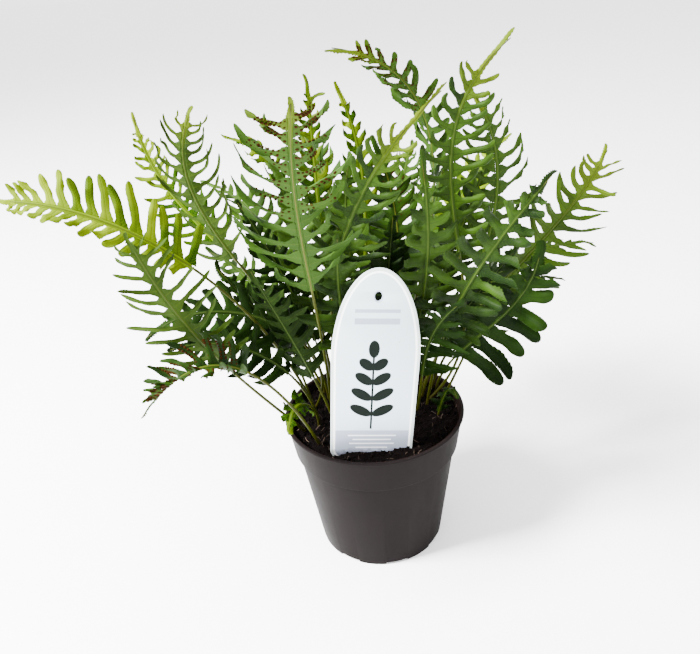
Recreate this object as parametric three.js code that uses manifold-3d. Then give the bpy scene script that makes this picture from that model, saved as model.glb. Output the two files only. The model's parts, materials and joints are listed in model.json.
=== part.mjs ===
// Polypody fern in a round nursery pot of peat, with a plastic plant label.
// Millimetres, +Z up. The origin is the centre of the circle that the pot's foot stands on.
import * as THREE from 'three';
import Module from 'manifold-3d';
import { mergeVertices } from 'three/addons/utils/BufferGeometryUtils.js';

const wasm = await Module();
wasm.setup();

// Pot: a 12 cm nursery pot with a stepped rim band, a raised floor and notches in its foot
const POT = {
  sides: 32,
  rimRadius: 60,
  height: 100,
  lipHeight: 1.4,
  lipInset: 0.8,
  bandHeight: 24.6,
  bandFootRadius: 55.5,
  stepRadius: 53.6,
  footRadius: 43,
  wall: 1.7,
  floorUnder: 2,
  floorTop: 4,
  footRingWidth: 2.6,
  notches: 8,
  notchWidth: 15,
  notchHeight: 2,
  notchDepth: 6,
  firstNotch: -80,
};

// Soil: a plug of peat that fills the pot to just under its rim
const SOIL = {
  sides: 20,
  wallGap: 0.4,
  level: 93,
  edgeGap: 0.2,
  crown: 2.5,
  bumps: 0.86,
  longWave: [0.19, 0.23, 1.3],
  shortWave: [0.41, 0.37],
  shortShare: 0.5,
  rings: [0, 0.4, 0.75, 1],
};

// Label: a flat plate with a long oval top, on a stake that is pushed into the soil
const LABEL = {
  width: 52,
  footWidth: 51,
  thickness: 1.2,
  bottom: 88,
  top: 218.5,
  archHeight: 58,
  cornerRadius: 8,
  stakeWidth: 14,
  stakeDepth: 22,
  holeWidth: 4.2,
  holeHeight: 6,
  holeBelowTop: 17,
  x: -5.5,
  y: -39,
  lean: 5.7,
  slotGap: 0.4,
  arcSteps: 5,
};

// Fronds: a round stalk that becomes a winged midrib, with one lobe after another on each side
const STALK = {
  depth: 10, rootRadius: 1.2, bladeRadius: 0.95, rings: 5, holeGap: 0.4, holeExtra: 1, mouthReach: 1.6,
};
const RIB = { halfWidth: 1.5, tipHalfWidth: 0.9, halfThickness: 0.75, tipHalfThickness: 0.5 };

// A lobe: its middle and tip, how lobes crowd and shrink towards the frond's end, how much
// steeper they stand there, and how much of a bend or a random turn its root takes
const LOBE = {
  halfThickness: 0.6, middle: 0.55, tipWidth: 0.42, crowding: 1.2, shrinking: 1.7,
  steeperRoot: 18, steeperTip: 14, rootTurn: 0.4, rootLift: 0.5, twistReach: 1.6, slimming: 1.5,
};
const TAIL = { leastHalf: 1.6, widthShare: 0.42, widePlace: 0.4 };
const CURVE_STEPS = 160;
const WILDNESS = { angle: 18, lift: 26, length: 0.14, seed: 20 };
const TANGENT_REACH = 2;

// What a lobe may do to stay clear of what is already there: bend first, then grow shorter
const CLEARANCE = 0.45;
const BENDS = [0, 10, -10, 20, -20, 32, -32, 46, -46];
const LENGTHS = [1, 0.92, 0.8, 0.65, 0.5, 0.36, 0.24, 0.14];
const OWN_LOBE_START = 0.4;
const WELD = 1e-4;
const NO_LENGTH = 1e-9;

// Colours of fronds by age, with the rib's gloss
const TONES = {
  young: { color: 0xa9bb43, roughness: 0.5 },
  olive: { color: 0x74913a, roughness: 0.5 },
  mid: { color: 0x5f8a3c, roughness: 0.5 },
  dark: { color: 0x3d6632, roughness: 0.5 },
  fertile: { color: 0x5b7a39, roughness: 0.55 },
};

// One row a frond. root is its place on the soil, through are three points on its midrib,
// across is the side that its first row of lobes grows to, bare is the share of stalk without
// lobes, tail the share past the last lobe, angle and lift are degrees at a lobe's root and tip.
const EVEN = {
  bare: 0.46, tail: 0.08, pairs: 11, lobe: 30, leftScale: 1, rightScale: 1,
  angle: [84, 40], lift: [10, 34], twist: 0, fill: 0.6,
  peak: 0.3, base: 0.7, end: 0.12, blunt: false, tone: 'mid',
};
const FRONDS = {
  front: {
    root: [-29, 4], through: [[-29, -24, 170], [-31, -85, 263], [-25, -140, 326]], across: [-1, 0, 0],
    bare: 0.48, tail: 0.03, pairs: 12, lobe: 33, rightScale: 1.15, angle: [82, 20], lift: [0, 30],
    fill: 0.38, peak: 0.35, base: 0.8, end: 0.55, blunt: true, tone: 'fertile',
  },
  left_long: {
    root: [-36, 5], through: [[-88, -22, 210], [-137, -36, 256], [-190, -30, 269]],
    across: [0.3, 0.3, 0.9], bare: 0.58, tail: 0.03, pairs: 14, lobe: 26, leftScale: 0.62,
    angle: [70, 58], lift: [0, 8], otherLift: [30, 50], peak: 0.25, base: 0.9, end: 0.3,
    blunt: true, fill: 0.52, tone: 'young',
  },
  left_dark: {
    root: [-32, 25], through: [[-78, 24, 201], [-100, 18, 264], [-86, 5, 304]],
    across: [-1, 0.3, -0.3], bare: 0.56, tail: 0.05, pairs: 12, lobe: 33, angle: [96, 12],
    twist: 35, fill: 0.36, peak: 0.35, base: 0.9, end: 0.4, blunt: true, tone: 'olive',
  },
  left_young: {
    root: [-34, 34], through: [[-85, 53, 193], [-128, 66, 251], [-137, 66, 293]],
    across: [1, 0, 0.4], bare: 0.58, tail: 0.05, pairs: 13, lobe: 24, angle: [84, 35],
    lift: [5, 30], peak: 0.2, base: 0.9, end: 0.08, blunt: true, fill: 0.48, tone: 'young',
  },
  left_feather: {
    root: [-42, -6], through: [[-80, -48, 165], [-100, -67, 215], [-113, -76, 262]],
    across: [-1, 0, -0.15], bare: 0.5, tail: 0.04, pairs: 11, lobe: 28, angle: [86, 60],
    lift: [5, 10], twist: 40, fill: 0.38, peak: 0.4, end: 0.4, blunt: true, tone: 'olive',
  },
  low_fertile: {
    root: [-35, -22], through: [[-59, -48, 152], [-84, -64, 179], [-124, -86, 163]],
    across: [0.2, 0.95, 0.1], bare: 0.58, lift: [35, 62], fill: 0.62, end: 0.4, blunt: true,
    lobe: 23, pairs: 10, tone: 'fertile',
  },
  left_mid: {
    root: [-46, 19], through: [[-63, -2, 173], [-99, -4, 183], [-138, -10, 170]],
    across: [0, 0.5, 0.8], bare: 0.42, lobe: 24, blunt: true, fill: 0.54, tone: 'dark',
  },
  inner_left_a: {
    root: [-21, 29], through: [[-46, 30, 171], [-63, 34, 213], [-77, 40, 239]],
    across: [1, 0.3, 0.3], bare: 0.34, lobe: 26, fill: 0.5, pairs: 12, tone: 'dark',
  },
  inner_left_b: {
    root: [-41, 27], through: [[-62, 40, 154], [-82, 60, 179], [-110, 78, 193]],
    across: [0.5, 0.6, 0.6], bare: 0.32, pairs: 10, lobe: 26, fill: 0.5, tone: 'mid',
  },
  back_left: {
    root: [-22, 35], through: [[-45, 70, 191], [-57, 85, 248], [-87, 85, 271]],
    across: [0.2, 0.9, 0.4], bare: 0.5, tail: 0.05, pairs: 12, lobe: 24, fill: 0.5, tone: 'young',
  },
  back_small_a: {
    root: [-16, 38], through: [[-26, 76, 194], [-27, 104, 258], [-27, 108, 302]],
    across: [1, 0, 0], bare: 0.52, tail: 0.05, pairs: 12, lobe: 19, angle: [84, 20],
    lift: [10, 15], peak: 0.2, end: 0.1, fill: 0.5, tone: 'young',
  },
  back_small_b: {
    root: [-4, 36], through: [[4, 60, 197], [3, 82, 261], [-9, 86, 299]],
    across: [1, 0.1, 0], bare: 0.44, tail: 0.06, pairs: 12, angle: [84, 20], lift: [10, 15],
    peak: 0.2, lobe: 21, fill: 0.5, tone: 'young',
  },
  centre_bright: {
    root: [-20, 0], through: [[-8, -34, 241], [9, -50, 276], [41, -66, 314]],
    across: [1, 0, -0.6], bare: 0.44, tail: 0.13, pairs: 12, lobe: 29, angle: [88, 25],
    lift: [10, 40], end: 0.5, blunt: true, fill: 0.44, peak: 0.4, tone: 'mid',
  },
  top_arch: {
    root: [14, 26], through: [[46, 20, 240], [33, 8, 301], [-13, -4, 328]],
    across: [0, 0.6, -0.8], bare: 0.5, tail: 0.06, pairs: 14, lobe: 25, lift: [5, 25],
    end: 0.25, blunt: true, fill: 0.54, angle: [80, 35], tone: 'fertile',
  },
  tall_right: {
    root: [26, 14], through: [[53, -8, 236], [56, -22, 298], [81, -30, 330]],
    across: [1, 0, -0.4], bare: 0.5, tail: 0.09, pairs: 12, lobe: 27, angle: [95, 32],
    lift: [10, 35], end: 0.45, blunt: true, fill: 0.42, peak: 0.4, tone: 'mid',
  },
  right_upright: {
    root: [31, 27], through: [[75, 20, 191], [82, 10, 255], [65, 0, 299]],
    across: [-1, 0, -0.2], bare: 0.5, tail: 0.04, pairs: 11, lobe: 27, angle: [95, 30],
    peak: 0.4, end: 0.3, blunt: true, fill: 0.42, lift: [10, 35], tone: 'mid',
  },
  right_far: {
    root: [40, 27], through: [[88, 31, 166], [125, 30, 208], [152, 22, 258]],
    across: [1, 0.2, -0.5], tail: 0.05, pairs: 13, lobe: 33, angle: [98, 52], lift: [5, 25],
    twist: 20, fill: 0.42, peak: 0.4, end: 0.4, blunt: true, tone: 'olive',
  },
  right_thin: {
    root: [36, 36], through: [[76, 46, 152], [126, 62, 178], [166, 62, 180]],
    across: [0, 0.95, 0.3], lobe: 22, fill: 0.5, bare: 0.4, tone: 'olive',
  },
  right_broad: {
    root: [45, 24], through: [[66, 2, 143], [90, -12, 176], [101, -20, 218]],
    across: [1, 0, -1], bare: 0.34, pairs: 8, lobe: 33, angle: [92, 70], fill: 0.8,
    peak: 0.2, base: 1, end: 0.2, blunt: true, leftScale: 0.7, tone: 'dark',
  },
  right_inner: {
    root: [35, 7], through: [[50, -28, 182], [67, -50, 228], [96, -55, 268]],
    across: [1, 0, -0.7], bare: 0.38, tail: 0.05, lobe: 28, angle: [95, 50], blunt: true,
    fill: 0.52, tone: 'mid',
  },
  middle_a: {
    root: [8, 8], through: [[33, -25, 195], [34, -40, 243], [31, -40, 280]],
    across: [1, 0, 0], bare: 0.36, lobe: 27, fill: 0.48, angle: [90, 30], tone: 'mid',
  },
  middle_b: {
    root: [4, 24], through: [[24, 30, 191], [22, 38, 234], [11, 36, 273]],
    across: [1, 0.2, 0], lobe: 27, fill: 0.5, tone: 'fertile',
  },
  middle_c: {
    root: [-16, 14], through: [[-7, 14, 195], [-8, 18, 236], [-2, 10, 271]],
    across: [1, -0.2, 0], lobe: 27, fill: 0.5, bare: 0.38, tone: 'mid',
  },
  middle_d: {
    root: [-22, 12], through: [[-32, 10, 196], [-38, 8, 236], [-49, 0, 272]],
    across: [1, 0.4, 0], lobe: 27, fill: 0.5, bare: 0.38, tone: 'mid',
  },
  right_mid: {
    root: [21, 31], through: [[64, 56, 188], [80, 60, 226], [93, 62, 258]],
    across: [1, 0.2, 0], lobe: 27, fill: 0.5, bare: 0.38, tone: 'mid',
  },
  back_a: {
    root: [-26, 40], through: [[-50, 78, 175], [-88, 122, 215], [-118, 150, 225]],
    across: [1, 0.6, 0], bare: 0.44, pairs: 10, lobe: 27, fill: 0.52, tone: 'mid',
  },
  back_b: {
    root: [-8, 43], through: [[-13, 80, 180], [-26, 128, 240], [-44, 160, 262]],
    across: [1, 0.1, 0], bare: 0.44, pairs: 10, lobe: 27, fill: 0.52, tone: 'fertile',
  },
  back_c: {
    root: [12, 42], through: [[22, 82, 175], [40, 130, 225], [50, 165, 240]],
    across: [1, -0.2, 0], bare: 0.44, pairs: 10, lobe: 27, fill: 0.52, tone: 'mid',
  },
  back_d: {
    root: [27, 41], through: [[54, 74, 178], [92, 112, 225], [120, 136, 246]],
    across: [0.8, -0.6, 0], bare: 0.44, pairs: 10, lobe: 27, fill: 0.52, tone: 'young',
  },
  right_low: {
    root: [44, 15], through: [[77, 25, 142], [110, 44, 163], [142, 52, 158]],
    across: [-0.3, 1, 0.2], bare: 0.4, pairs: 10, lobe: 26, fill: 0.56, tone: 'dark',
  },
  back_low: {
    root: [3, 46], through: [[8, 76, 150], [14, 118, 172], [20, 156, 160]],
    across: [1, 0, 0], bare: 0.4, pairs: 10, lobe: 26, fill: 0.56, tone: 'dark',
  },
  inner_left_c: {
    root: [-24, -10], through: [[-42, -14, 150], [-56, -20, 190], [-64, -32, 220]],
    across: [-1, 0.3, 0.4], bare: 0.36, pairs: 9, lobe: 28, fill: 0.56, tone: 'dark',
  },
  inner_left_d: {
    root: [-30, 18], through: [[-52, 12, 146], [-74, 11, 180], [-94, 18, 206]],
    across: [0, 0.7, 0.5], bare: 0.32, pairs: 9, lobe: 27, fill: 0.56, tone: 'dark',
  },
  left_low: {
    root: [-38, -2], through: [[-56, -10, 142], [-82, -16, 164], [-121, -26, 170]],
    across: [-0.1, 0.5, 0.85], bare: 0.4, pairs: 9, lobe: 25, fill: 0.62, tone: 'dark',
  },
  centre_low: {
    root: [-8, -6], through: [[-14, -18, 160], [-16, -30, 205], [-14, -46, 240]],
    across: [1, 0, 0.2], bare: 0.42, pairs: 9, lobe: 28, fill: 0.56, tone: 'mid',
  },
  centre_dark: {
    root: [2, 14], through: [[10, 1, 165], [15, -5, 208], [18, -16, 240]],
    across: [1, 0.3, 0], bare: 0.42, pairs: 9, lobe: 28, fill: 0.56, tone: 'dark',
  },
  right_inner_b: {
    root: [27, 2], through: [[33, -20, 148], [39, -37, 178], [52, -52, 200]],
    across: [1, 0, -0.6], bare: 0.36, pairs: 9, lobe: 28, fill: 0.56, tone: 'dark',
  },
  right_inner_c: {
    root: [33, 18], through: [[56, 18, 145], [80, 16, 180], [100, 8, 208]],
    across: [1, 0.4, -0.6], bare: 0.34, pairs: 9, lobe: 28, fill: 0.56, tone: 'dark',
  },
  back_inner: {
    root: [16, 34], through: [[34, 50, 160], [50, 66, 205], [60, 72, 240]],
    across: [1, -0.4, 0], bare: 0.36, pairs: 9, lobe: 27, fill: 0.56, tone: 'mid',
  },
  small_right: {
    root: [43, -5], through: [[46, -10, 112], [50, -17, 121], [52, -23, 117]],
    across: [1, 0, 0], bare: 0.3, pairs: 4, lobe: 8, tone: 'mid',
  },
  small_left: {
    root: [-43, -12], through: [[-44, -22, 122], [-49, -31, 126], [-54, -41, 112]],
    across: [-0.6, 0.6, 0.4], bare: 0.5, pairs: 4, lobe: 10, fill: 0.8, blunt: true, tone: 'young',
  },
};

// Small helpers for points
const vector = ([x, y, z]) => new THREE.Vector3(x, y, z);
const radians = THREE.MathUtils.degToRad;
const along = (start, direction, distance) => start.clone().addScaledVector(direction, distance);
const mix = (from, to, share) => from + (to - from) * share;

// A closed body from points and triangles, as a geometry of single triangles with flat faces
function bodyFrom(points, faces) {
  const geometry = new THREE.BufferGeometry();
  const places = points.flatMap((point) => point.toArray());
  geometry.setAttribute('position', new THREE.Float32BufferAttribute(places, 3));
  geometry.setIndex(faces.flat());
  return geometry;
}

// Joins and cuts, through solids with shared vertices
function solidOf(geometry) {
  const plain = geometry.clone();
  plain.deleteAttribute('normal');
  plain.deleteAttribute('uv');
  const merged = mergeVertices(plain, WELD);
  return new wasm.Manifold(new wasm.Mesh({
    numProp: 3,
    vertProperties: new Float32Array(merged.attributes.position.array),
    triVerts: new Uint32Array(merged.index.array),
  }));
}

function geometryOf(solid) {
  const mesh = solid.getMesh();
  const geometry = new THREE.BufferGeometry();
  geometry.setAttribute('position', new THREE.BufferAttribute(new Float32Array(mesh.vertProperties), 3));
  geometry.setIndex(new THREE.BufferAttribute(new Uint32Array(mesh.triVerts), 1));
  return geometry;
}

function turnedProfile(profile, sides) {
  const outline = profile.map(([radius, height]) => new THREE.Vector2(radius, height));
  const geometry = new THREE.LatheGeometry(outline, sides);
  geometry.rotateX(Math.PI / 2);
  return geometry;
}

// Pot
function wallRadius(height) {
  const bandBottom = POT.height - POT.bandHeight;
  if (height >= bandBottom) {
    const share = (height - bandBottom) / POT.bandHeight;
    return mix(POT.bandFootRadius, POT.rimRadius - POT.lipInset, share);
  }
  return mix(POT.footRadius, POT.stepRadius, height / bandBottom);
}

function potGeometry() {
  const bandBottom = POT.height - POT.bandHeight;
  const lipBottom = POT.height - POT.lipHeight;
  const outside = [
    [POT.footRadius, 0],
    [POT.stepRadius, bandBottom],
    [POT.bandFootRadius, bandBottom],
    [wallRadius(lipBottom), lipBottom],
    [POT.rimRadius, lipBottom],
    [POT.rimRadius, POT.height],
  ];
  const inside = [
    [POT.rimRadius - POT.lipInset - POT.wall, POT.height],
    [POT.bandFootRadius - POT.wall, bandBottom + POT.wall],
    [POT.stepRadius - POT.wall, bandBottom - POT.wall],
    [wallRadius(POT.floorTop) - POT.wall, POT.floorTop],
    [0, POT.floorTop],
  ];
  const under = [
    [0, POT.floorUnder],
    [POT.footRadius - POT.footRingWidth, POT.floorUnder],
    [POT.footRadius - POT.footRingWidth, 0],
  ];
  const profile = [...under, ...outside, ...inside];
  let pot = solidOf(turnedProfile(profile, POT.sides));
  for (let notch = 0; notch < POT.notches; notch += 1) {
    const angle = radians(POT.firstNotch + (360 * notch) / POT.notches);
    const cutter = new THREE.BoxGeometry(POT.notchDepth, POT.notchWidth, POT.notchHeight * 2);
    const middle = POT.footRadius - POT.footRingWidth / 2;
    cutter.translate(middle, 0, 0);
    cutter.rotateZ(angle);
    pot = pot.subtract(solidOf(cutter));
  }
  return geometryOf(pot);
}

// Soil, with a surface that rises to the crowns and is lumpy as peat is
function soilHeight(x, y, edge) {
  const share = Math.hypot(x, y) / edge;
  const [alongX, alongY, shift] = SOIL.longWave;
  const [shortX, shortY] = SOIL.shortWave;
  const long = Math.sin(x * alongX + shift) * Math.cos(y * alongY);
  const lumps = long + SOIL.shortShare * Math.sin(x * shortX - y * shortY);
  return SOIL.level + SOIL.crown * (1 - share * share) + SOIL.bumps * lumps;
}

function soilGeometry() {
  const bottomRadius = wallRadius(POT.floorTop) - POT.wall - SOIL.wallGap;
  const bottom = POT.floorTop + SOIL.wallGap;
  const bandBottom = POT.height - POT.bandHeight;
  const shoulderRadius = POT.stepRadius - POT.wall - SOIL.wallGap;
  const shoulder = bandBottom - POT.wall;
  const edge = wallRadius(SOIL.level) - POT.wall - SOIL.wallGap - SOIL.edgeGap;
  const points = [];
  const faces = [];
  const ringOf = (radius, height) => {
    const first = points.length;
    for (let side = 0; side < SOIL.sides; side += 1) {
      const angle = (side / SOIL.sides) * 2 * Math.PI;
      const x = radius * Math.cos(angle);
      const y = radius * Math.sin(angle);
      points.push(new THREE.Vector3(x, y, height(x, y)));
    }
    return first;
  };
  const band = (low, high) => {
    for (let side = 0; side < SOIL.sides; side += 1) {
      const next = (side + 1) % SOIL.sides;
      faces.push([low + side, low + next, high + next]);
      faces.push([low + side, high + next, high + side]);
    }
  };
  const low = ringOf(bottomRadius, () => bottom);
  const middle = ringOf(shoulderRadius, () => shoulder);
  band(low, middle);
  let outer = middle;
  for (const share of [...SOIL.rings].reverse().slice(0, -1)) {
    const ring = ringOf(edge * share, (x, y) => soilHeight(x, y, edge));
    band(outer, ring);
    outer = ring;
  }
  const top = points.length;
  points.push(new THREE.Vector3(0, 0, soilHeight(0, 0, edge)));
  const foot = points.length;
  points.push(new THREE.Vector3(0, 0, bottom));
  for (let side = 0; side < SOIL.sides; side += 1) {
    const next = (side + 1) % SOIL.sides;
    faces.push([outer + side, outer + next, top]);
    faces.push([low + next, low + side, foot]);
  }
  return bodyFrom(points, faces);
}

// Label
function labelOutline(grow) {
  const half = LABEL.width / 2 + grow;
  const foot = LABEL.footWidth / 2 + grow;
  const stake = LABEL.stakeWidth / 2 + grow;
  const corner = LABEL.cornerRadius;
  const tip = LABEL.bottom - LABEL.stakeDepth - grow;
  const spring = LABEL.top - LABEL.archHeight;
  const outline = new THREE.Shape();
  const shoulder = LABEL.bottom - grow;
  outline.moveTo(stake, tip);
  outline.lineTo(stake, shoulder);
  outline.absellipse(foot - corner, shoulder + corner, corner, corner, -Math.PI / 2, 0, false);
  outline.absellipse(0, spring, half, LABEL.archHeight + grow, 0, Math.PI, false);
  outline.absellipse(corner - foot, shoulder + corner, corner, corner, Math.PI, 1.5 * Math.PI, false);
  outline.lineTo(-stake, shoulder);
  outline.lineTo(-stake, tip);
  outline.closePath();
  return outline;
}

function stand(geometry) {
  geometry.rotateX(Math.PI / 2);
  geometry.rotateY(radians(LABEL.lean));
  geometry.translate(LABEL.x - LABEL.bottom * Math.sin(radians(LABEL.lean)), LABEL.y, 0);
  return geometry;
}

function labelGeometry() {
  const outline = labelOutline(0);
  const hole = new THREE.Path();
  const holeY = LABEL.top - LABEL.holeBelowTop;
  hole.absellipse(0, holeY, LABEL.holeWidth / 2, LABEL.holeHeight / 2, 0, 2 * Math.PI, true);
  outline.holes.push(hole);
  const plate = new THREE.ExtrudeGeometry(outline, {
    depth: LABEL.thickness, bevelEnabled: false, curveSegments: LABEL.arcSteps,
  });
  plate.translate(0, 0, -LABEL.thickness / 2);
  return stand(plate);
}

function labelSlot() {
  const depth = LABEL.thickness + 2 * LABEL.slotGap;
  const slot = new THREE.ExtrudeGeometry(labelOutline(LABEL.slotGap), {
    depth, bevelEnabled: false, curveSegments: LABEL.arcSteps,
  });
  slot.translate(0, 0, -depth / 2);
  return stand(slot);
}

// A frond's midrib: one cubic curve through its four points, measured along its length
class Midrib {
  constructor(row) {
    const root = new THREE.Vector3(row.root[0], row.root[1], SOIL.level - STALK.depth);
    const knots = [root, ...row.through.map(vector)];
    const times = [0];
    for (let knot = 1; knot < knots.length; knot += 1) {
      times.push(times[knot - 1] + knots[knot].distanceTo(knots[knot - 1]));
    }
    const span = times[times.length - 1];
    this.points = [];
    this.lengths = [0];
    for (let step = 0; step <= CURVE_STEPS; step += 1) {
      const time = (span * step) / CURVE_STEPS;
      const point = new THREE.Vector3();
      knots.forEach((knot, own) => {
        let weight = 1;
        times.forEach((other, index) => {
          if (index !== own) weight *= (time - other) / (times[own] - other);
        });
        point.addScaledVector(knot, weight);
      });
      if (step > 0) this.lengths.push(this.lengths[step - 1] + point.distanceTo(this.points[step - 1]));
      this.points.push(point);
    }
    this.length = this.lengths[CURVE_STEPS];
    this.across = vector(row.across).normalize();
  }

  point(distance) {
    const target = THREE.MathUtils.clamp(distance, 0, this.length);
    let step = 1;
    while (step < CURVE_STEPS && this.lengths[step] < target) step += 1;
    const share = (target - this.lengths[step - 1]) / (this.lengths[step] - this.lengths[step - 1]);
    return this.points[step - 1].clone().lerp(this.points[step], share);
  }

  frame(distance) {
    const before = this.point(distance - TANGENT_REACH);
    const after = this.point(distance + TANGENT_REACH);
    const forward = after.sub(before).normalize();
    const side = along(this.across, forward, -this.across.dot(forward)).normalize();
    const upper = new THREE.Vector3().crossVectors(side, forward);
    return { point: this.point(distance), forward, side, upper };
  }
}

// Seeded random numbers from -1 to 1, so that no two lobes are quite alike
const RANDOM = { factor: 1664525, step: 1013904223, range: 2 ** 32 };
function seededDraws(seed) {
  let state = seed;
  return () => {
    state = (state * RANDOM.factor + RANDOM.step) % RANDOM.range;
    return (state / RANDOM.range) * 2 - 1;
  };
}
const draw = seededDraws(WILDNESS.seed);

// How long a lobe is for its place on the blade, as a share of the longest
function lobeShare(row, place) {
  if (place < row.peak) return row.base + (1 - row.base) * Math.sin((Math.PI / 2) * (place / row.peak));
  return 1 - (1 - row.end) * ((place - row.peak) / (1 - row.peak)) ** LOBE.shrinking;
}

// The plan of one frond: where its rings and lobes stand
function planFrond(name, given) {
  const row = { ...EVEN, ...given };
  const rib = new Midrib(row);
  const start = row.bare * rib.length;
  const end = rib.length * (1 - row.tail);
  const count = 2 * row.pairs + 1;
  const stationAt = (index) => start + (end - start) * (1 - (1 - index / count) ** LOBE.crowding);
  const halfSizes = (distance) => {
    if (distance < start) {
      const radius = mix(STALK.rootRadius, STALK.bladeRadius, distance / start);
      return [radius, radius];
    }
    const share = (distance - start) / (rib.length - start);
    return [
      mix(RIB.halfWidth, RIB.tipHalfWidth, share),
      mix(RIB.halfThickness, RIB.tipHalfThickness, share),
    ];
  };
  const ring = (distance) => {
    const { point, side, upper } = rib.frame(distance);
    const [width, thickness] = halfSizes(distance);
    return {
      plus: along(point, side, width),
      minus: along(point, side, -width),
      top: along(point, upper, thickness),
      bottom: along(point, upper, -thickness),
    };
  };
  const lobes = [];
  for (const side of [1, -1]) {
    for (let index = 0; index < row.pairs; index += 1) {
      const first = 2 * index + (side === 1 ? 0 : 1);
      const from = stationAt(first);
      const to = stationAt(first + 2);
      const place = ((from + to) / 2 - start) / (end - start);
      const frame = rib.frame((from + to) / 2);
      const [width] = halfSizes((from + to) / 2);
      const scale = side === 1 ? row.rightScale : row.leftScale;
      lobes.push({
        side,
        first,
        frame,
        width: (to - from) * row.fill,
        length: row.lobe * lobeShare(row, place) * scale * (1 + WILDNESS.length * draw()),
        angleDraw: WILDNESS.angle * draw(),
        liftDraw: WILDNESS.lift * draw(),
        place,
        rootA: along(rib.frame(from).point, rib.frame(from).side, side * halfSizes(from)[0]),
        rootB: along(rib.frame(to).point, rib.frame(to).side, side * halfSizes(to)[0]),
        root: along(frame.point, frame.side, side * width),
      });
    }
  }
  return { name, row, rib, start, end, count, stationAt, halfSizes, ring, lobes };
}

// One lobe's points, for a bend up or down and a share of its length
function lobeShape(row, lobe, bend, share, grow) {
  const { side, place, root, frame } = lobe;
  const lifts = side === 1 || !row.otherLift ? row.lift : row.otherLift;
  const turnedTo = (angle, lift) => {
    const outward = along(new THREE.Vector3(), frame.side, side * Math.cos(lift));
    outward.addScaledVector(frame.upper, Math.sin(lift));
    return outward.multiplyScalar(Math.sin(angle)).addScaledVector(frame.forward, Math.cos(angle));
  };
  const turnFrom = row.angle[0] - LOBE.steeperRoot * place + lobe.angleDraw * LOBE.rootTurn;
  const turnTo = row.angle[1] - LOBE.steeperTip * place + lobe.angleDraw;
  const first = turnedTo(radians(turnFrom), radians(lifts[0] + (bend + lobe.liftDraw) * LOBE.rootLift));
  const last = turnedTo(radians(turnTo), radians(lifts[1] + bend + lobe.liftDraw));
  const length = lobe.length * share + grow;
  const station = (u, width) => {
    const centre = along(root, first, length * (u - (u * u) / 2));
    centre.addScaledVector(last, (length * u * u) / 2);
    const heading = along(first, last, u).addScaledVector(first, -u).normalize();
    const broad = along(frame.forward, heading, -frame.forward.dot(heading)).normalize();
    const twist = radians(row.twist) * Math.min(1, u * LOBE.twistReach) * side;
    broad.applyAxisAngle(heading, twist);
    const normal = new THREE.Vector3().crossVectors(heading, broad).multiplyScalar(side);
    return {
      a: along(centre, broad, -width),
      b: along(centre, broad, width),
      top: along(centre, normal, LOBE.halfThickness + grow),
      bottom: along(centre, normal, -LOBE.halfThickness - grow),
      centre,
    };
  };
  const half = (lobe.width / 2) * Math.min(1, share * LOBE.slimming);
  return {
    rootA: lobe.rootA,
    rootB: lobe.rootB,
    rootTop: along(root, frame.upper, LOBE.halfThickness + grow),
    rootBottom: along(root, frame.upper, -LOBE.halfThickness - grow),
    middle: station(LOBE.middle, half + grow),
    end: station(1, row.blunt ? half * LOBE.tipWidth + grow : grow),
  };
}

// The faces of a lobe, the same on its upper and its lower side. Each side starts from one or two
// points on the midrib's spine, above and below.
function lobeFaces(shape, spines, side, blunt, add) {
  const { rootA, rootB, middle, end } = shape;
  for (const [spine, centre, turn] of [
    [spines.top, middle.top, side],
    [spines.bottom, middle.bottom, -side],
  ]) {
    add(rootA, middle.a, centre, turn);
    add(rootA, centre, spine[0], turn);
    if (spine.length > 1) add(spine[0], centre, spine[1], turn);
    add(spine[spine.length - 1], centre, rootB, turn);
    add(centre, middle.b, rootB, turn);
    if (blunt) {
      add(middle.a, end.a, centre, turn);
      add(end.a, end.b, centre, turn);
      add(end.b, middle.b, centre, turn);
    } else {
      add(middle.a, end.centre, centre, turn);
      add(end.centre, middle.b, centre, turn);
    }
  }
}

// A bundle of triangles with a box round it, for asking whether two pieces cross
function bundle(owner, triangles) {
  const boxed = triangles.map((corners) => ({ corners, box: new THREE.Box3().setFromPoints(corners) }));
  const box = new THREE.Box3();
  boxed.forEach((triangle) => box.union(triangle.box));
  return { owner, triangles: boxed, box };
}

function bundleOfGeometry(owner, geometry) {
  const flat = geometry.index ? geometry.toNonIndexed() : geometry;
  const position = flat.attributes.position;
  const triangles = [];
  for (let first = 0; first < position.count; first += 3) {
    const corner = (step) => new THREE.Vector3().fromBufferAttribute(position, first + step);
    triangles.push([0, 1, 2].map(corner));
  }
  return bundle(owner, triangles);
}

const ray = new THREE.Ray();
const hit = new THREE.Vector3();
const spot = new THREE.Vector3();
function edgePierces(from, to, [a, b, c]) {
  spot.subVectors(to, from);
  const length = spot.length();
  if (length < NO_LENGTH) return false;
  ray.set(from, spot.divideScalar(length));
  if (!ray.intersectTriangle(a, b, c, false, hit)) return false;
  return hit.distanceTo(from) <= length;
}

function trianglesCross(one, other) {
  for (let corner = 0; corner < 3; corner += 1) {
    const next = (corner + 1) % 3;
    if (edgePierces(one[corner], one[next], other)) return true;
    if (edgePierces(other[corner], other[next], one)) return true;
  }
  return false;
}

function bundlesCross(one, other) {
  if (!one.box.intersectsBox(other.box)) return false;
  for (const mine of one.triangles) {
    if (!mine.box.intersectsBox(other.box)) continue;
    for (const theirs of other.triangles) {
      if (mine.box.intersectsBox(theirs.box) && trianglesCross(mine.corners, theirs.corners)) return true;
    }
  }
  return false;
}

function trianglesOfLobe(row, lobe, shape) {
  const triangles = [];
  const spines = { top: [shape.rootTop], bottom: [shape.rootBottom] };
  lobeFaces(shape, spines, lobe.side, row.blunt, (a, b, c) => triangles.push([a, b, c]));
  return triangles;
}

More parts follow.
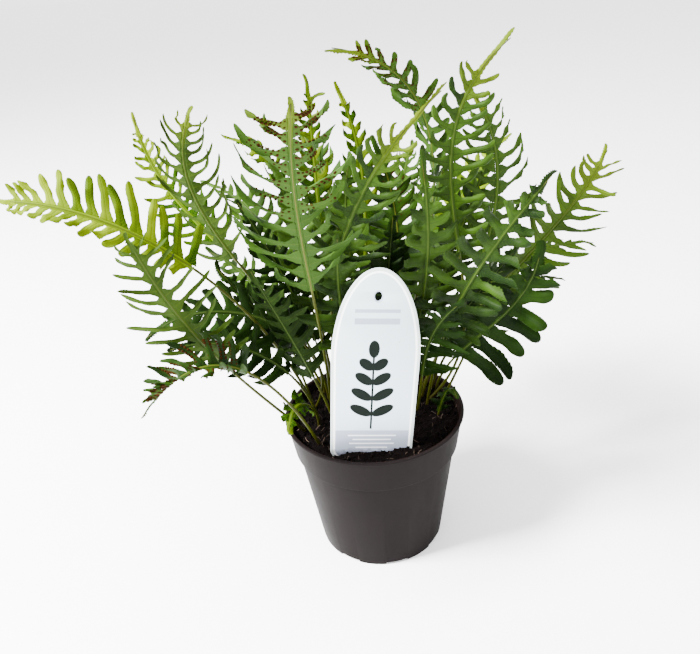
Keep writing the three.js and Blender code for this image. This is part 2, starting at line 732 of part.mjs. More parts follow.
// The outer part of a lobe, which alone is held clear of its own frond
function outerShape(shape) {
  const inward = (rootPoint, middlePoint) => rootPoint.clone().lerp(middlePoint, OWN_LOBE_START);
  return {
    ...shape,
    rootA: inward(shape.rootA, shape.middle.a),
    rootB: inward(shape.rootB, shape.middle.b),
    rootTop: inward(shape.rootTop, shape.middle.top),
    rootBottom: inward(shape.rootBottom, shape.middle.bottom),
  };
}

function stripFaces(one, two, add) {
  for (const [spine, turn] of [['top', 1], ['bottom', -1]]) {
    for (const [edge, side] of [['plus', 1], ['minus', -1]]) {
      add(one[spine], one[edge], two[edge], turn * side);
      add(one[spine], two[edge], two[spine], turn * side);
    }
  }
}

// The rings of a frond from its root to its first lobe
const stalkDistance = (plan, step) => plan.start * (step / STALK.rings);

function stalkRings(plan) {
  const rings = [];
  for (let step = 0; step <= STALK.rings; step += 1) rings.push(plan.ring(stalkDistance(plan, step)));
  return rings;
}

function tailRings(plan) {
  const last = plan.ring(plan.end);
  const half = Math.max(TAIL.leastHalf, plan.lobes[plan.lobes.length - 1].width * TAIL.widthShare);
  const distance = mix(plan.end, plan.rib.length, TAIL.widePlace);
  const { point, side, upper } = plan.rib.frame(distance);
  const wide = {
    plus: along(point, side, half),
    minus: along(point, side, -half),
    top: along(point, upper, LOBE.halfThickness),
    bottom: along(point, upper, -LOBE.halfThickness),
  };
  return { last, wide, tip: plan.rib.point(plan.rib.length) };
}

function tailFaces({ last, wide, tip }, add) {
  stripFaces(last, wide, add);
  for (const [spine, turn] of [['top', 1], ['bottom', -1]]) {
    add(wide[spine], wide.plus, tip, turn);
    add(wide[spine], wide.minus, tip, -turn);
  }
}

// What a frond's stalk and midrib fill, for others to stay clear of
function ribBundles(plan) {
  const bundles = [];
  const push = (one, two) => {
    const triangles = [];
    stripFaces(one, two, (a, b, c) => triangles.push([a, b, c]));
    bundles.push(bundle(plan.name, triangles));
  };
  const rings = stalkRings(plan);
  for (let station = 2; station <= plan.count; station += 2) rings.push(plan.ring(plan.stationAt(station)));
  for (let step = 1; step < rings.length; step += 1) push(rings[step - 1], rings[step]);
  const tail = [];
  tailFaces(tailRings(plan), (a, b, c) => tail.push([a, b, c]));
  bundles.push(bundle(plan.name, tail));
  return bundles;
}

// Bends each lobe clear of everything placed before it, and shortens it where no bend is enough
function settleLobes(plans, fixed) {
  const whole = [...fixed];
  plans.forEach((plan) => whole.push(...ribBundles(plan)));
  for (const plan of plans) {
    const own = [];
    const { row } = plan;
    for (const lobe of plan.lobes) {
      const isClear = (bend, share) => {
        const grown = lobeShape(row, lobe, bend, share, CLEARANCE);
        const reach = bundle(plan.name, trianglesOfLobe(row, lobe, grown));
        if (whole.some((other) => other.owner !== plan.name && bundlesCross(reach, other))) return false;
        const outer = bundle(plan.name, trianglesOfLobe(row, lobe, outerShape(grown)));
        return !own.some((other) => bundlesCross(outer, other));
      };
      const tries = LENGTHS.flatMap((share) => BENDS.map((bend) => [bend, share]));
      const [bend, share] = tries.find((pair) => isClear(...pair)) ?? tries[tries.length - BENDS.length];
      lobe.shape = lobeShape(row, lobe, bend, share, 0);
      whole.push(bundle(plan.name, trianglesOfLobe(row, lobe, lobe.shape)));
      own.push(bundle(plan.name, trianglesOfLobe(row, lobe, outerShape(lobe.shape))));
    }
  }
}

// A frond as one closed body: stalk, midrib, every lobe and the tail share their vertices
function frondGeometry(plan) {
  const points = [];
  const numbers = new Map();
  const faces = [];
  const number = (point) => {
    if (!numbers.has(point)) {
      numbers.set(point, points.length);
      points.push(point);
    }
    return numbers.get(point);
  };
  const add = (a, b, c, turn) => {
    const corners = [a, b, c].map(number);
    faces.push(turn > 0 ? corners : [corners[0], corners[2], corners[1]]);
  };
  const rings = stalkRings(plan);
  const stations = [rings[rings.length - 1]];
  for (let index = 1; index < plan.count; index += 1) stations.push(plan.ring(plan.stationAt(index)));
  const tail = tailRings(plan);
  stations.push(tail.last);
  const foot = rings[0];
  add(foot.plus, foot.top, foot.bottom, 1);
  add(foot.minus, foot.bottom, foot.top, 1);
  for (let step = 1; step < rings.length; step += 1) stripFaces(rings[step - 1], rings[step], add);
  const last = plan.count;
  for (const spine of ['top', 'bottom']) {
    const turn = spine === 'top' ? 1 : -1;
    for (let gap = 0; gap < last - 1; gap += 2) {
      add(stations[gap][spine], stations[gap + 1].minus, stations[gap + 2][spine], -turn);
    }
    add(stations[0][spine], stations[0].minus, stations[1].minus, -turn);
    add(stations[last - 1][spine], stations[last].minus, stations[last][spine], -turn);
    add(stations[last - 1][spine], stations[last - 1].plus, stations[last].plus, turn);
    add(stations[last - 1][spine], stations[last].plus, stations[last][spine], turn);
  }
  for (const lobe of plan.lobes) {
    const edge = lobe.side === 1 ? 'plus' : 'minus';
    const from = stations[lobe.first];
    const to = stations[lobe.first + 2];
    const shape = { ...lobe.shape, rootA: from[edge], rootB: to[edge] };
    const carriers = lobe.side === 1 ? [from, to] : [stations[lobe.first + 1]];
    const spines = {
      top: carriers.map((station) => station.top),
      bottom: carriers.map((station) => station.bottom),
    };
    lobeFaces(shape, spines, lobe.side, plan.row.blunt, add);
  }
  tailFaces(tail, add);
  return bodyFrom(points, faces);
}

// The plain hole in the soil that a stalk stands in
function stalkHole(plan) {
  const points = [];
  const faces = [];
  const add = (a, b, c, turn) => {
    const first = points.length;
    points.push(a, b, c);
    faces.push(turn > 0 ? [first, first + 1, first + 2] : [first, first + 2, first + 1]);
  };
  const wide = (step) => {
    const { point, side, upper } = plan.rib.frame(stalkDistance(plan, step));
    const half = STALK.rootRadius + STALK.holeGap * Math.SQRT2;
    return {
      plus: along(point, side, half),
      minus: along(point, side, -half),
      top: along(point, upper, half),
      bottom: along(point, upper, -half),
    };
  };
  const foot = wide(0);
  const { forward } = plan.rib.frame(0);
  Object.values(foot).forEach((point) => point.addScaledVector(forward, -STALK.holeExtra));
  add(foot.plus, foot.top, foot.bottom, 1);
  add(foot.minus, foot.bottom, foot.top, 1);
  let mouth = foot;
  for (let step = 1; step <= STALK.rings; step += 1) {
    const next = wide(step);
    stripFaces(mouth, next, add);
    mouth = next;
    if (stalkDistance(plan, step) > STALK.depth * STALK.mouthReach) break;
  }
  add(mouth.plus, mouth.bottom, mouth.top, 1);
  add(mouth.minus, mouth.top, mouth.bottom, 1);
  return bodyFrom(points, faces);
}

// The whole plant
const plans = Object.entries(FRONDS).map(([name, row]) => planFrond(`frond_${name}`, row));
const potBody = potGeometry();
const soilPlug = soilGeometry();
const labelPlate = labelGeometry();

settleLobes(plans, [
  bundleOfGeometry('pot', potBody),
  bundleOfGeometry('soil', soilPlug),
  bundleOfGeometry('label', labelPlate),
]);

let soilBody = solidOf(soilPlug).subtract(solidOf(labelSlot()));
for (const plan of plans) soilBody = soilBody.subtract(solidOf(stalkHole(plan)));

function piece(name, geometry, look) {
  const material = new THREE.MeshStandardMaterial({ metalness: 0, flatShading: true, ...look });
  const mesh = new THREE.Mesh(geometry, material);
  mesh.name = name;
  return mesh;
}

const fern = new THREE.Group();
fern.add(piece('pot', potBody, { color: 0x4a4444, roughness: 0.5 }));
fern.add(piece('soil', geometryOf(soilBody), { color: 0x2b1d17, roughness: 0.95 }));
fern.add(piece('label', labelPlate, { color: 0xd8dfe8, roughness: 0.35 }));
for (const plan of plans) fern.add(piece(plan.name, frondGeometry(plan), TONES[plan.row.tone]));

export default fern;
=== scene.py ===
# %% [markdown]
# # A potted polypody fern
# The real object is a young polypody in the nursery pot that it is sold in: some forty fronds, each
# a wiry stalk with one lobe after another on both sides, a plug of dark peat, and a plastic label
# with an oval top. The solids of the CAD model are faceted on purpose. Here each of them gets a
# finer piece of the same form, and a finish. Lengths are in millimetres until a mesh is made.

import json
import math
from dataclasses import dataclass

import bmesh
import bpy
import numpy as np
from mathutils import Matrix, Vector
from mathutils.kdtree import KDTree

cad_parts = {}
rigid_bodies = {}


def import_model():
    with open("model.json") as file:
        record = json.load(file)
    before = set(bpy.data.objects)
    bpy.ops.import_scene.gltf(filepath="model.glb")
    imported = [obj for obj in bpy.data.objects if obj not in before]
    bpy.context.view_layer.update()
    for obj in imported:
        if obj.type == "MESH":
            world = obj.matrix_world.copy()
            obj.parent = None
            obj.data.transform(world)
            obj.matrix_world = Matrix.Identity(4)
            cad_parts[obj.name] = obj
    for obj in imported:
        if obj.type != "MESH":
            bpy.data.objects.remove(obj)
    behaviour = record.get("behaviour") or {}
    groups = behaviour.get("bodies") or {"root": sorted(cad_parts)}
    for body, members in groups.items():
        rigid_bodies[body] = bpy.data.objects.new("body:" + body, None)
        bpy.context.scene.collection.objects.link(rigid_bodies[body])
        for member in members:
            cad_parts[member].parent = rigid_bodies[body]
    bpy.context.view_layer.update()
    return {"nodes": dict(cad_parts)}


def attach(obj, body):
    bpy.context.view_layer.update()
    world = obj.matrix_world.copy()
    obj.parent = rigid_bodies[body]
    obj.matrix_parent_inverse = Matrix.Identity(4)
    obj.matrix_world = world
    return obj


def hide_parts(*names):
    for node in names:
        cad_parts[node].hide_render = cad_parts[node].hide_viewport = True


for stray in list(bpy.data.objects):
    bpy.data.objects.remove(stray)
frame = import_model()
nodes = frame["nodes"]
MM = 0.001

# %% [markdown]
# ## Sums on sockets
# A shader or a Geometry Nodes tree is a long sum written as boxes and wires. It reads better as
# Python: a Wire holds one socket, and each operator on it adds the Math node that does the sum.
# Vectors go through Vector Math, and every other node is made by Board.node.

# %% Wires
class Wire:
    """One output socket that Python sums can be done with."""

    def __init__(self, board, socket):
        self.board = board
        self.socket = socket

    def sum_with(self, operation, *others, swapped=False):
        """Adds one Math node, or a Vector Math node where a term is a vector."""
        terms = [*others, self] if swapped else [self, *others]
        is_vector = any(isinstance(term, Wire) and term.socket.type == "VECTOR" for term in terms)
        kind = "ShaderNodeVectorMath" if is_vector else "ShaderNodeMath"
        if is_vector:
            terms = [term if isinstance(term, Wire) else np.broadcast_to(term, 3) for term in terms]
        return self.board.wire(kind, {"operation": operation}, dict(enumerate(terms)))

    def __add__(self, other):
        return self.sum_with("ADD", other)

    def __radd__(self, other):
        return self.sum_with("ADD", other, swapped=True)

    def __sub__(self, other):
        return self.sum_with("SUBTRACT", other)

    def __rsub__(self, other):
        return self.sum_with("SUBTRACT", other, swapped=True)

    def __mul__(self, other):
        return self.sum_with("MULTIPLY", other)

    def __rmul__(self, other):
        return self.sum_with("MULTIPLY", other, swapped=True)

    def __truediv__(self, other):
        return self.sum_with("DIVIDE", other)

    def __pow__(self, other):
        return self.sum_with("POWER", other)

    def __abs__(self):
        return self.sum_with("ABSOLUTE")

    def at_least(self, other):
        return self.sum_with("MAXIMUM", other)

    def at_most(self, other):
        return self.sum_with("MINIMUM", other)

    def above(self, other):
        return self.sum_with("GREATER_THAN", other)

    def below(self, other):
        return self.sum_with("LESS_THAN", other)

    def sine(self):
        return self.sum_with("SINE")

    def unit(self):
        return self.sum_with("NORMALIZE")

    def cross(self, other):
        return self.sum_with("CROSS_PRODUCT", other)

    def dot(self, other):
        settings, terms = {"operation": "DOT_PRODUCT"}, {0: self, 1: other}
        return self.board.wire("ShaderNodeVectorMath", settings, terms, output="Value")

    def clamped(self):
        """The value, kept between 0 and 1."""
        return self.at_least(0).at_most(1)

    def parts(self):
        """The three numbers of a vector."""
        node = self.board.node("ShaderNodeSeparateXYZ", {}, {0: self})
        return [Wire(self.board, output) for output in node.outputs]


# %% Boards
class Board:
    """A node tree that is laid out by a few short calls."""

    def __init__(self, tree):
        self.tree = tree

    def node(self, kind, settings=(), inputs=()):
        """A new node: its settings first, and then the values or links of its sockets."""
        made = self.tree.nodes.new(kind)
        for name, value in dict(settings).items():
            setattr(made, name, value)
        for name, value in dict(inputs).items():
            if isinstance(value, Wire):
                self.tree.links.new(value.socket, made.inputs[name])
            else:
                made.inputs[name].default_value = value
        return made

    def wire(self, kind, settings=(), inputs=(), output=0):
        return Wire(self, self.node(kind, settings, inputs).outputs[output])

    def mixed(self, share, first, second):
        """A colour that goes from first to second as share goes from 0 to 1."""
        settings = {"data_type": "RGBA"}
        return self.wire("ShaderNodeMix", settings, {0: share, 6: first, 7: second}, output=2)

    def noise(self, place, scale, detail=3, roughness=0.5):
        inputs = {"Vector": place, "Scale": scale, "Detail": detail, "Roughness": roughness}
        return self.wire("ShaderNodeTexNoise", {}, inputs)


# %% [markdown]
# ## Materials
# Every finish starts from the same steps: one Principled shader, its constants set on its own
# sockets, its pattern wired to Base Color, Roughness and a Bump node. Colours are written as a
# painter's swatch, 0 to 255 for each of red, green and blue, and turned to light values here.

# %% Swatches and finishes
SWATCH_TOP = 255
SCREEN_GAMMA = 2.2


def swatch(red, green, blue):
    """A colour as seen on a screen, turned into the share of light that it sends back."""
    shares = (np.array([red, green, blue]) / SWATCH_TOP) ** SCREEN_GAMMA
    return (*(float(share) for share in shares), 1.0)


class Finish(Board):
    """A material with one Principled shader."""

    def __init__(self, name, **constants):
        self.material = bpy.data.materials.new(name)
        self.material.use_nodes = True
        super().__init__(self.material.node_tree)
        self.shader = self.tree.nodes["Principled BSDF"]
        self.place = self.wire("ShaderNodeTexCoord", {}, {}, output="Object")
        for name, value in constants.items():
            self.shader.inputs[name.replace("_", " ")].default_value = value

    def attribute(self, name, output="Fac"):
        return self.wire("ShaderNodeAttribute", {"attribute_name": name}, {}, output=output)

    def paint(self, colour, roughness=None):
        self.tree.links.new(colour.socket, self.shader.inputs["Base Color"])
        if roughness is not None:
            self.tree.links.new(roughness.socket, self.shader.inputs["Roughness"])

    def bump(self, height, distance, strength=1.0):
        inputs = {"Height": height, "Distance": distance, "Strength": strength}
        node = self.node("ShaderNodeBump", {}, inputs)
        self.tree.links.new(node.outputs[0], self.shader.inputs["Normal"])


# %% [markdown]
# ## Meshes
# A piece of this scene is made point by point, or it is the result of a modifier, of a curve's
# thickness or of a Geometry Nodes tree. All end the same way: as a plain mesh whose object sits
# at the origin.

# %% From points to an object
def linked(name, data):
    """A new object in the scene, with a mesh, a curve, a lamp or a camera for its data."""
    thing = bpy.data.objects.new(name, data)
    bpy.context.scene.collection.objects.link(thing)
    return thing


def object_from(name, points, faces, edges=()):
    """An object from points in millimetres."""
    mesh = bpy.data.meshes.new(name)
    mesh.from_pydata([tuple(point) for point in np.asarray(points, float) * MM], edges, faces)
    return linked(name, mesh)


def mesh_of(name, body):
    """The mesh of a bmesh, which is freed."""
    mesh = bpy.data.meshes.new(name)
    body.to_mesh(mesh)
    body.free()
    return mesh


def result_of(thing):
    """The mesh of an object once its modifiers, or its curve's thickness, are worked out."""
    shown = thing.evaluated_get(bpy.context.evaluated_depsgraph_get())
    return bpy.data.meshes.new_from_object(shown)


def shelf(name, things):
    """A collection of shapes for a tree to pick from."""
    collection = bpy.data.collections.new(name)
    bpy.context.scene.collection.children.link(collection)
    for thing in things:
        collection.objects.link(thing)
    return collection


def cleared(collection):
    """Takes a shelf and its shapes away, once a tree has used them."""
    for thing in list(collection.objects):
        bpy.data.objects.remove(thing)
    bpy.data.collections.remove(collection)


def add_values(mesh, name, kind, values):
    """A named value for each point of a mesh, for a tree or a material to read."""
    field = "vector" if kind == "FLOAT_VECTOR" else "value"
    attribute = mesh.attributes.new(name, kind, "POINT")
    attribute.data.foreach_set(field, np.asarray(values, np.float32).ravel())


# %% From a tree to an object
def grown(name, source, tree, values):
    """The result of a tree on source, as a plain mesh object. values are the modifier's inputs."""
    modifier = source.modifiers.new(name, "NODES")
    modifier.node_group = tree
    for item in tree.interface.items_tree:
        if item.name in values:
            modifier[item.identifier] = values[item.name]
    mesh = result_of(source)
    mesh.name = name
    source.modifiers.remove(modifier)
    bpy.data.objects.remove(source)
    return linked(name, mesh)


def tree_with(name, **inputs):
    """An empty Geometry Nodes tree with named inputs: a socket type and a start value each."""
    tree = bpy.data.node_groups.new(name, "GeometryNodeTree")
    tree.is_modifier = True
    tree.interface.new_socket("Geometry", in_out="INPUT", socket_type="NodeSocketGeometry")
    tree.interface.new_socket("Geometry", in_out="OUTPUT", socket_type="NodeSocketGeometry")
    for label, (kind, value) in inputs.items():
        socket = tree.interface.new_socket(
            label.replace("_", " "), in_out="INPUT", socket_type=f"NodeSocket{kind}"
        )
        if value is not None:
            socket.default_value = value
    board = Board(tree)
    entry = board.node("NodeGroupInput")
    given = {output.name: Wire(board, output) for output in entry.outputs if output.name}
    return tree, board, given


def keep(thing, node):
    """Puts a finished piece in place of its CAD solid, on the one body of this object."""
    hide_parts(node)
    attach(thing, "root")
    return thing


# %% [markdown]
# ## Where the fronds run
# Each frond of the CAD model is one smooth curve through its root and three points, with lobes on
# both sides. The same few values are given here again, so that the finer frond can be laid along
# the same curve. Bare is the share of the length without lobes and tail the share past the last.

# %% The fronds
@dataclass
class Frond:
    """One frond: where it stands, the three points that it passes, and how it is divided."""

    root: tuple
    through: list
    across: tuple
    bare: float
    tail: float
    pairs: int
    tone: str
    blunt: bool = False


FRONDS = {
    "front": Frond((-29, 4), [(-29, -24, 170), (-31, -85, 263), (-25, -140, 326)], (-1, 0, 0),
        bare=0.48, tail=0.03, pairs=12, tone="fertile", blunt=True),
    "left_long": Frond((-36, 5), [(-88, -22, 210), (-137, -36, 256), (-190, -30, 269)], (0.3, 0.3, 0.9),
        bare=0.58, tail=0.03, pairs=14, tone="young", blunt=True),
    "left_dark": Frond((-32, 25), [(-78, 24, 201), (-100, 18, 264), (-86, 5, 304)], (-1, 0.3, -0.3),
        bare=0.56, tail=0.05, pairs=12, tone="olive", blunt=True),
    "left_young": Frond((-34, 34), [(-85, 53, 193), (-128, 66, 251), (-137, 66, 293)], (1, 0, 0.4),
        bare=0.58, tail=0.05, pairs=13, tone="young", blunt=True),
    "left_feather": Frond((-42, -6), [(-80, -48, 165), (-100, -67, 215), (-113, -76, 262)], (-1, 0, -0.15),
        bare=0.5, tail=0.04, pairs=11, tone="olive", blunt=True),
    "low_fertile": Frond((-35, -22), [(-59, -48, 152), (-84, -64, 179), (-124, -86, 163)], (0.2, 0.95, 0.1),
        bare=0.58, tail=0.08, pairs=10, tone="fertile", blunt=True),
    "left_mid": Frond((-46, 19), [(-63, -2, 173), (-99, -4, 183), (-138, -10, 170)], (0, 0.5, 0.8),
        bare=0.42, tail=0.08, pairs=11, tone="dark", blunt=True),
    "inner_left_a": Frond((-21, 29), [(-46, 30, 171), (-63, 34, 213), (-77, 40, 239)], (1, 0.3, 0.3),
        bare=0.34, tail=0.08, pairs=12, tone="dark"),
    "inner_left_b": Frond((-41, 27), [(-62, 40, 154), (-82, 60, 179), (-110, 78, 193)], (0.5, 0.6, 0.6),
        bare=0.32, tail=0.08, pairs=10, tone="mid"),
    "back_left": Frond((-22, 35), [(-45, 70, 191), (-57, 85, 248), (-87, 85, 271)], (0.2, 0.9, 0.4),
        bare=0.5, tail=0.05, pairs=12, tone="young"),
    "back_small_a": Frond((-16, 38), [(-26, 76, 194), (-27, 104, 258), (-27, 108, 302)], (1, 0, 0),
        bare=0.52, tail=0.05, pairs=12, tone="young"),
    "back_small_b": Frond((-4, 36), [(4, 60, 197), (3, 82, 261), (-9, 86, 299)], (1, 0.1, 0),
        bare=0.44, tail=0.06, pairs=12, tone="young"),
    "centre_bright": Frond((-20, 0), [(-8, -34, 241), (9, -50, 276), (41, -66, 314)], (1, 0, -0.6),
        bare=0.44, tail=0.13, pairs=12, tone="mid", blunt=True),
    "top_arch": Frond((14, 26), [(46, 20, 240), (33, 8, 301), (-13, -4, 328)], (0, 0.6, -0.8),
        bare=0.5, tail=0.06, pairs=14, tone="fertile", blunt=True),
    "tall_right": Frond((26, 14), [(53, -8, 236), (56, -22, 298), (81, -30, 330)], (1, 0, -0.4),
        bare=0.5, tail=0.09, pairs=12, tone="mid", blunt=True),
    "right_upright": Frond((31, 27), [(75, 20, 191), (82, 10, 255), (65, 0, 299)], (-1, 0, -0.2),
        bare=0.5, tail=0.04, pairs=11, tone="mid", blunt=True),
    "right_far": Frond((40, 27), [(88, 31, 166), (125, 30, 208), (152, 22, 258)], (1, 0.2, -0.5),
        bare=0.46, tail=0.05, pairs=13, tone="olive", blunt=True),
    "right_thin": Frond((36, 36), [(76, 46, 152), (126, 62, 178), (166, 62, 180)], (0, 0.95, 0.3),
        bare=0.4, tail=0.08, pairs=11, tone="olive"),
    "right_broad": Frond((45, 24), [(66, 2, 143), (90, -12, 176), (101, -20, 218)], (1, 0, -1),
        bare=0.34, tail=0.08, pairs=8, tone="dark", blunt=True),
    "right_inner": Frond((35, 7), [(50, -28, 182), (67, -50, 228), (96, -55, 268)], (1, 0, -0.7),
        bare=0.38, tail=0.05, pairs=11, tone="mid", blunt=True),
    "middle_a": Frond((8, 8), [(33, -25, 195), (34, -40, 243), (31, -40, 280)], (1, 0, 0),
        bare=0.36, tail=0.08, pairs=11, tone="mid"),
    "middle_b": Frond((4, 24), [(24, 30, 191), (22, 38, 234), (11, 36, 273)], (1, 0.2, 0),
        bare=0.46, tail=0.08, pairs=11, tone="fertile"),
    "middle_c": Frond((-16, 14), [(-7, 14, 195), (-8, 18, 236), (-2, 10, 271)], (1, -0.2, 0),
        bare=0.38, tail=0.08, pairs=11, tone="mid"),
    "middle_d": Frond((-22, 12), [(-32, 10, 196), (-38, 8, 236), (-49, 0, 272)], (1, 0.4, 0),
        bare=0.38, tail=0.08, pairs=11, tone="mid"),
    "right_mid": Frond((21, 31), [(64, 56, 188), (80, 60, 226), (93, 62, 258)], (1, 0.2, 0),
        bare=0.38, tail=0.08, pairs=11, tone="mid"),
    "back_a": Frond((-26, 40), [(-50, 78, 175), (-88, 122, 215), (-118, 150, 225)], (1, 0.6, 0),
        bare=0.44, tail=0.08, pairs=10, tone="mid"),
    "back_b": Frond((-8, 43), [(-13, 80, 180), (-26, 128, 240), (-44, 160, 262)], (1, 0.1, 0),
        bare=0.44, tail=0.08, pairs=10, tone="fertile"),
    "back_c": Frond((12, 42), [(22, 82, 175), (40, 130, 225), (50, 165, 240)], (1, -0.2, 0),
        bare=0.44, tail=0.08, pairs=10, tone="mid"),
    "back_d": Frond((27, 41), [(54, 74, 178), (92, 112, 225), (120, 136, 246)], (0.8, -0.6, 0),
        bare=0.44, tail=0.08, pairs=10, tone="young"),
    "right_low": Frond((44, 15), [(77, 25, 142), (110, 44, 163), (142, 52, 158)], (-0.3, 1, 0.2),
        bare=0.4, tail=0.08, pairs=10, tone="dark"),
    "back_low": Frond((3, 46), [(8, 76, 150), (14, 118, 172), (20, 156, 160)], (1, 0, 0),
        bare=0.4, tail=0.08, pairs=10, tone="dark"),
    "inner_left_c": Frond((-24, -10), [(-42, -14, 150), (-56, -20, 190), (-64, -32, 220)], (-1, 0.3, 0.4),
        bare=0.36, tail=0.08, pairs=9, tone="dark"),
    "inner_left_d": Frond((-30, 18), [(-52, 12, 146), (-74, 11, 180), (-94, 18, 206)], (0, 0.7, 0.5),
        bare=0.32, tail=0.08, pairs=9, tone="dark"),
    "left_low": Frond((-38, -2), [(-56, -10, 142), (-82, -16, 164), (-121, -26, 170)], (-0.1, 0.5, 0.85),
        bare=0.4, tail=0.08, pairs=9, tone="dark"),
    "centre_low": Frond((-8, -6), [(-14, -18, 160), (-16, -30, 205), (-14, -46, 240)], (1, 0, 0.2),
        bare=0.42, tail=0.08, pairs=9, tone="mid"),
    "centre_dark": Frond((2, 14), [(10, 1, 165), (15, -5, 208), (18, -16, 240)], (1, 0.3, 0),
        bare=0.42, tail=0.08, pairs=9, tone="dark"),
    "right_inner_b": Frond((27, 2), [(33, -20, 148), (39, -37, 178), (52, -52, 200)], (1, 0, -0.6),
        bare=0.36, tail=0.08, pairs=9, tone="dark"),
    "right_inner_c": Frond((33, 18), [(56, 18, 145), (80, 16, 180), (100, 8, 208)], (1, 0.4, -0.6),
        bare=0.34, tail=0.08, pairs=9, tone="dark"),
    "back_inner": Frond((16, 34), [(34, 50, 160), (50, 66, 205), (60, 72, 240)], (1, -0.4, 0),
        bare=0.36, tail=0.08, pairs=9, tone="mid"),
    "small_right": Frond((43, -5), [(46, -10, 112), (50, -17, 121), (52, -23, 117)], (1, 0, 0),
        bare=0.3, tail=0.08, pairs=4, tone="mid"),
    "small_left": Frond((-43, -12), [(-44, -22, 122), (-49, -31, 126), (-54, -41, 112)], (-0.6, 0.6, 0.4),
        bare=0.5, tail=0.08, pairs=4, tone="young", blunt=True),
}
print(len(FRONDS), "fronds, about", sum(2 * row.pairs for row in FRONDS.values()), "lobes")

# %% [markdown]
# A midrib is measured along its length, so that "the place 120 mm up the frond" has an answer. At
# each place it also has a forward, a side and an upper direction, as a road has.

# %% Midribs
SOIL_LEVEL = 93
STALK_DEPTH = 10
CURVE_STEPS = 160
TANGENT_REACH = 2
CROWDING = 1.2
RIB_HALF_WIDTH = (1.5, 0.9)
RIB_HALF_THICKNESS = (0.75, 0.5)


def unit(vectors):
    return vectors / np.linalg.norm(vectors, axis=-1, keepdims=True)


def mix(start, end, share):
    return start + (end - start) * share


class Midrib:
    """The curve of one frond, asked by distance from its root."""

    def __init__(self, row):
        knots = np.array([(*row.root, SOIL_LEVEL - STALK_DEPTH), *row.through], float)
        gaps = np.linalg.norm(np.diff(knots, axis=0), axis=1)
        times = np.concatenate([[0], np.cumsum(gaps)])
        moments = np.linspace(0, times[-1], CURVE_STEPS + 1)
        self.points = np.zeros((CURVE_STEPS + 1, 3))
        for own, knot in enumerate(knots):
            others = np.delete(times, own)
            weights = [(moments - other) / (times[own] - other) for other in others]
            self.points += np.prod(weights, axis=0)[:, None] * knot
        steps = np.linalg.norm(np.diff(self.points, axis=0), axis=1)
        self.reach = np.concatenate([[0], np.cumsum(steps)])
        self.length = self.reach[-1]
        self.start = row.bare * self.length
        self.end = (1 - row.tail) * self.length
        self.count = 2 * row.pairs + 1
        self.across = unit(np.array(row.across, float))

    def point(self, distance):
        return np.array([np.interp(distance, self.reach, self.points[:, axis]) for axis in range(3)])

    def frame(self, distance):
        """The point at a distance, and its forward, side and upper directions."""
        before = self.point(distance - TANGENT_REACH)
        after = self.point(distance + TANGENT_REACH)
        forward = unit(after - before)
        side = unit(self.across - forward * np.dot(self.across, forward))
        return self.point(distance), forward, side, np.cross(side, forward)

    def station(self, index):
        return mix(self.start, self.end, 1 - (1 - index / self.count) ** CROWDING)

    def half_sizes(self, distance):
        share = (distance - self.start) / (self.length - self.start)
        return mix(*RIB_HALF_WIDTH, share), mix(*RIB_HALF_THICKNESS, share)

    def edge(self, distance, side_sign):
        point, _, side, _ = self.frame(distance)
        return point + side * side_sign * self.half_sizes(distance)[0]

    def spine(self, distance, upper_sign):
        point, _, _, upper = self.frame(distance)
        return point + upper * upper_sign * self.half_sizes(distance)[1]


# %% [markdown]
# ## What each lobe of the CAD model does
# Lobes were bent clear of each other in the solids, each by its own amount, so a rule can't tell
# where they went. The solid can. Its loose triangles are merged into one net, the corners on the
# midrib are found by distance, and from there the net leads to the middle and the end of each
# lobe. That is enough to know the curve that the lobe follows.

# %% A net of merged corners
WELD = 0.002
FOUND_WITHIN = 0.05


class Net:
    """The merged corners of a CAD solid, found by place and by neighbourhood."""

    def __init__(self, node):
        self.body = bmesh.new()
        self.body.from_mesh(nodes[node].data)
        bmesh.ops.remove_doubles(self.body, verts=self.body.verts, dist=WELD * MM)
        self.body.verts.ensure_lookup_table()
        self.finder = KDTree(len(self.body.verts))
        for index, corner in enumerate(self.body.verts):
            self.finder.insert(corner.co, index)
        self.finder.balance()

    def corner(self, place):
        _, index, distance = self.finder.find(Vector(place) * MM)
        if distance > FOUND_WITHIN * MM:
            raise ValueError(f"no corner of the solid within {distance / MM:.2f} mm of {place}")
        return self.body.verts[index]

    def around(self, corner):
        return {edge.other_vert(corner) for edge in corner.link_edges}


# %% [markdown]
# A lobe keeps the length and the place that its solid has. Its width may differ: the lobes of
# most solids were kept narrow to clear each other, and fullness is how many times as broad the
# finer lobe is. Spore heaps start at a share of the blade, on fertile fronds alone.

# %% Shapes, spores and fullness
BLUNT, POINTED, TAPERED, STRIP = 0, 1, 2, 3
SHAPE_OF_TONE = {"olive": TAPERED}
SPORES_FROM = {"front": 0.38, "low_fertile": 0.1, "top_arch": 0.5, "middle_b": 0.4, "back_b": 0.4}
NO_SPORES = 2
FULLNESS = {
    "left_long": 1.38, "right_broad": 1.2, "right_inner": 1.2, "left_mid": 1.5, "left_low": 1.3,
    "inner_left_a": 1.6, "inner_left_b": 1.55, "inner_left_c": 1.3, "inner_left_d": 1.4,
    "middle_a": 1.45, "middle_b": 1.7, "middle_c": 1.75, "middle_d": 1.7, "centre_low": 1.7,
    "centre_dark": 1.7, "right_inner_b": 1.55, "right_inner_c": 1.55, "back_inner": 1.7, "right_mid": 1.7,
    "back_left": 1.4, "back_c": 1.4, "back_b": 1.4, "back_low": 1.3, "right_low": 1.3,
    "back_a": 1.3, "back_d": 1.3, "back_small_a": 1.2, "back_small_b": 1.2,
    "right_far": 1.5, "right_thin": 1.25, "front": 0.92, "tall_right": 1.1, "low_fertile": 1.15,
}
print("fronds with spores:", *SPORES_FROM)

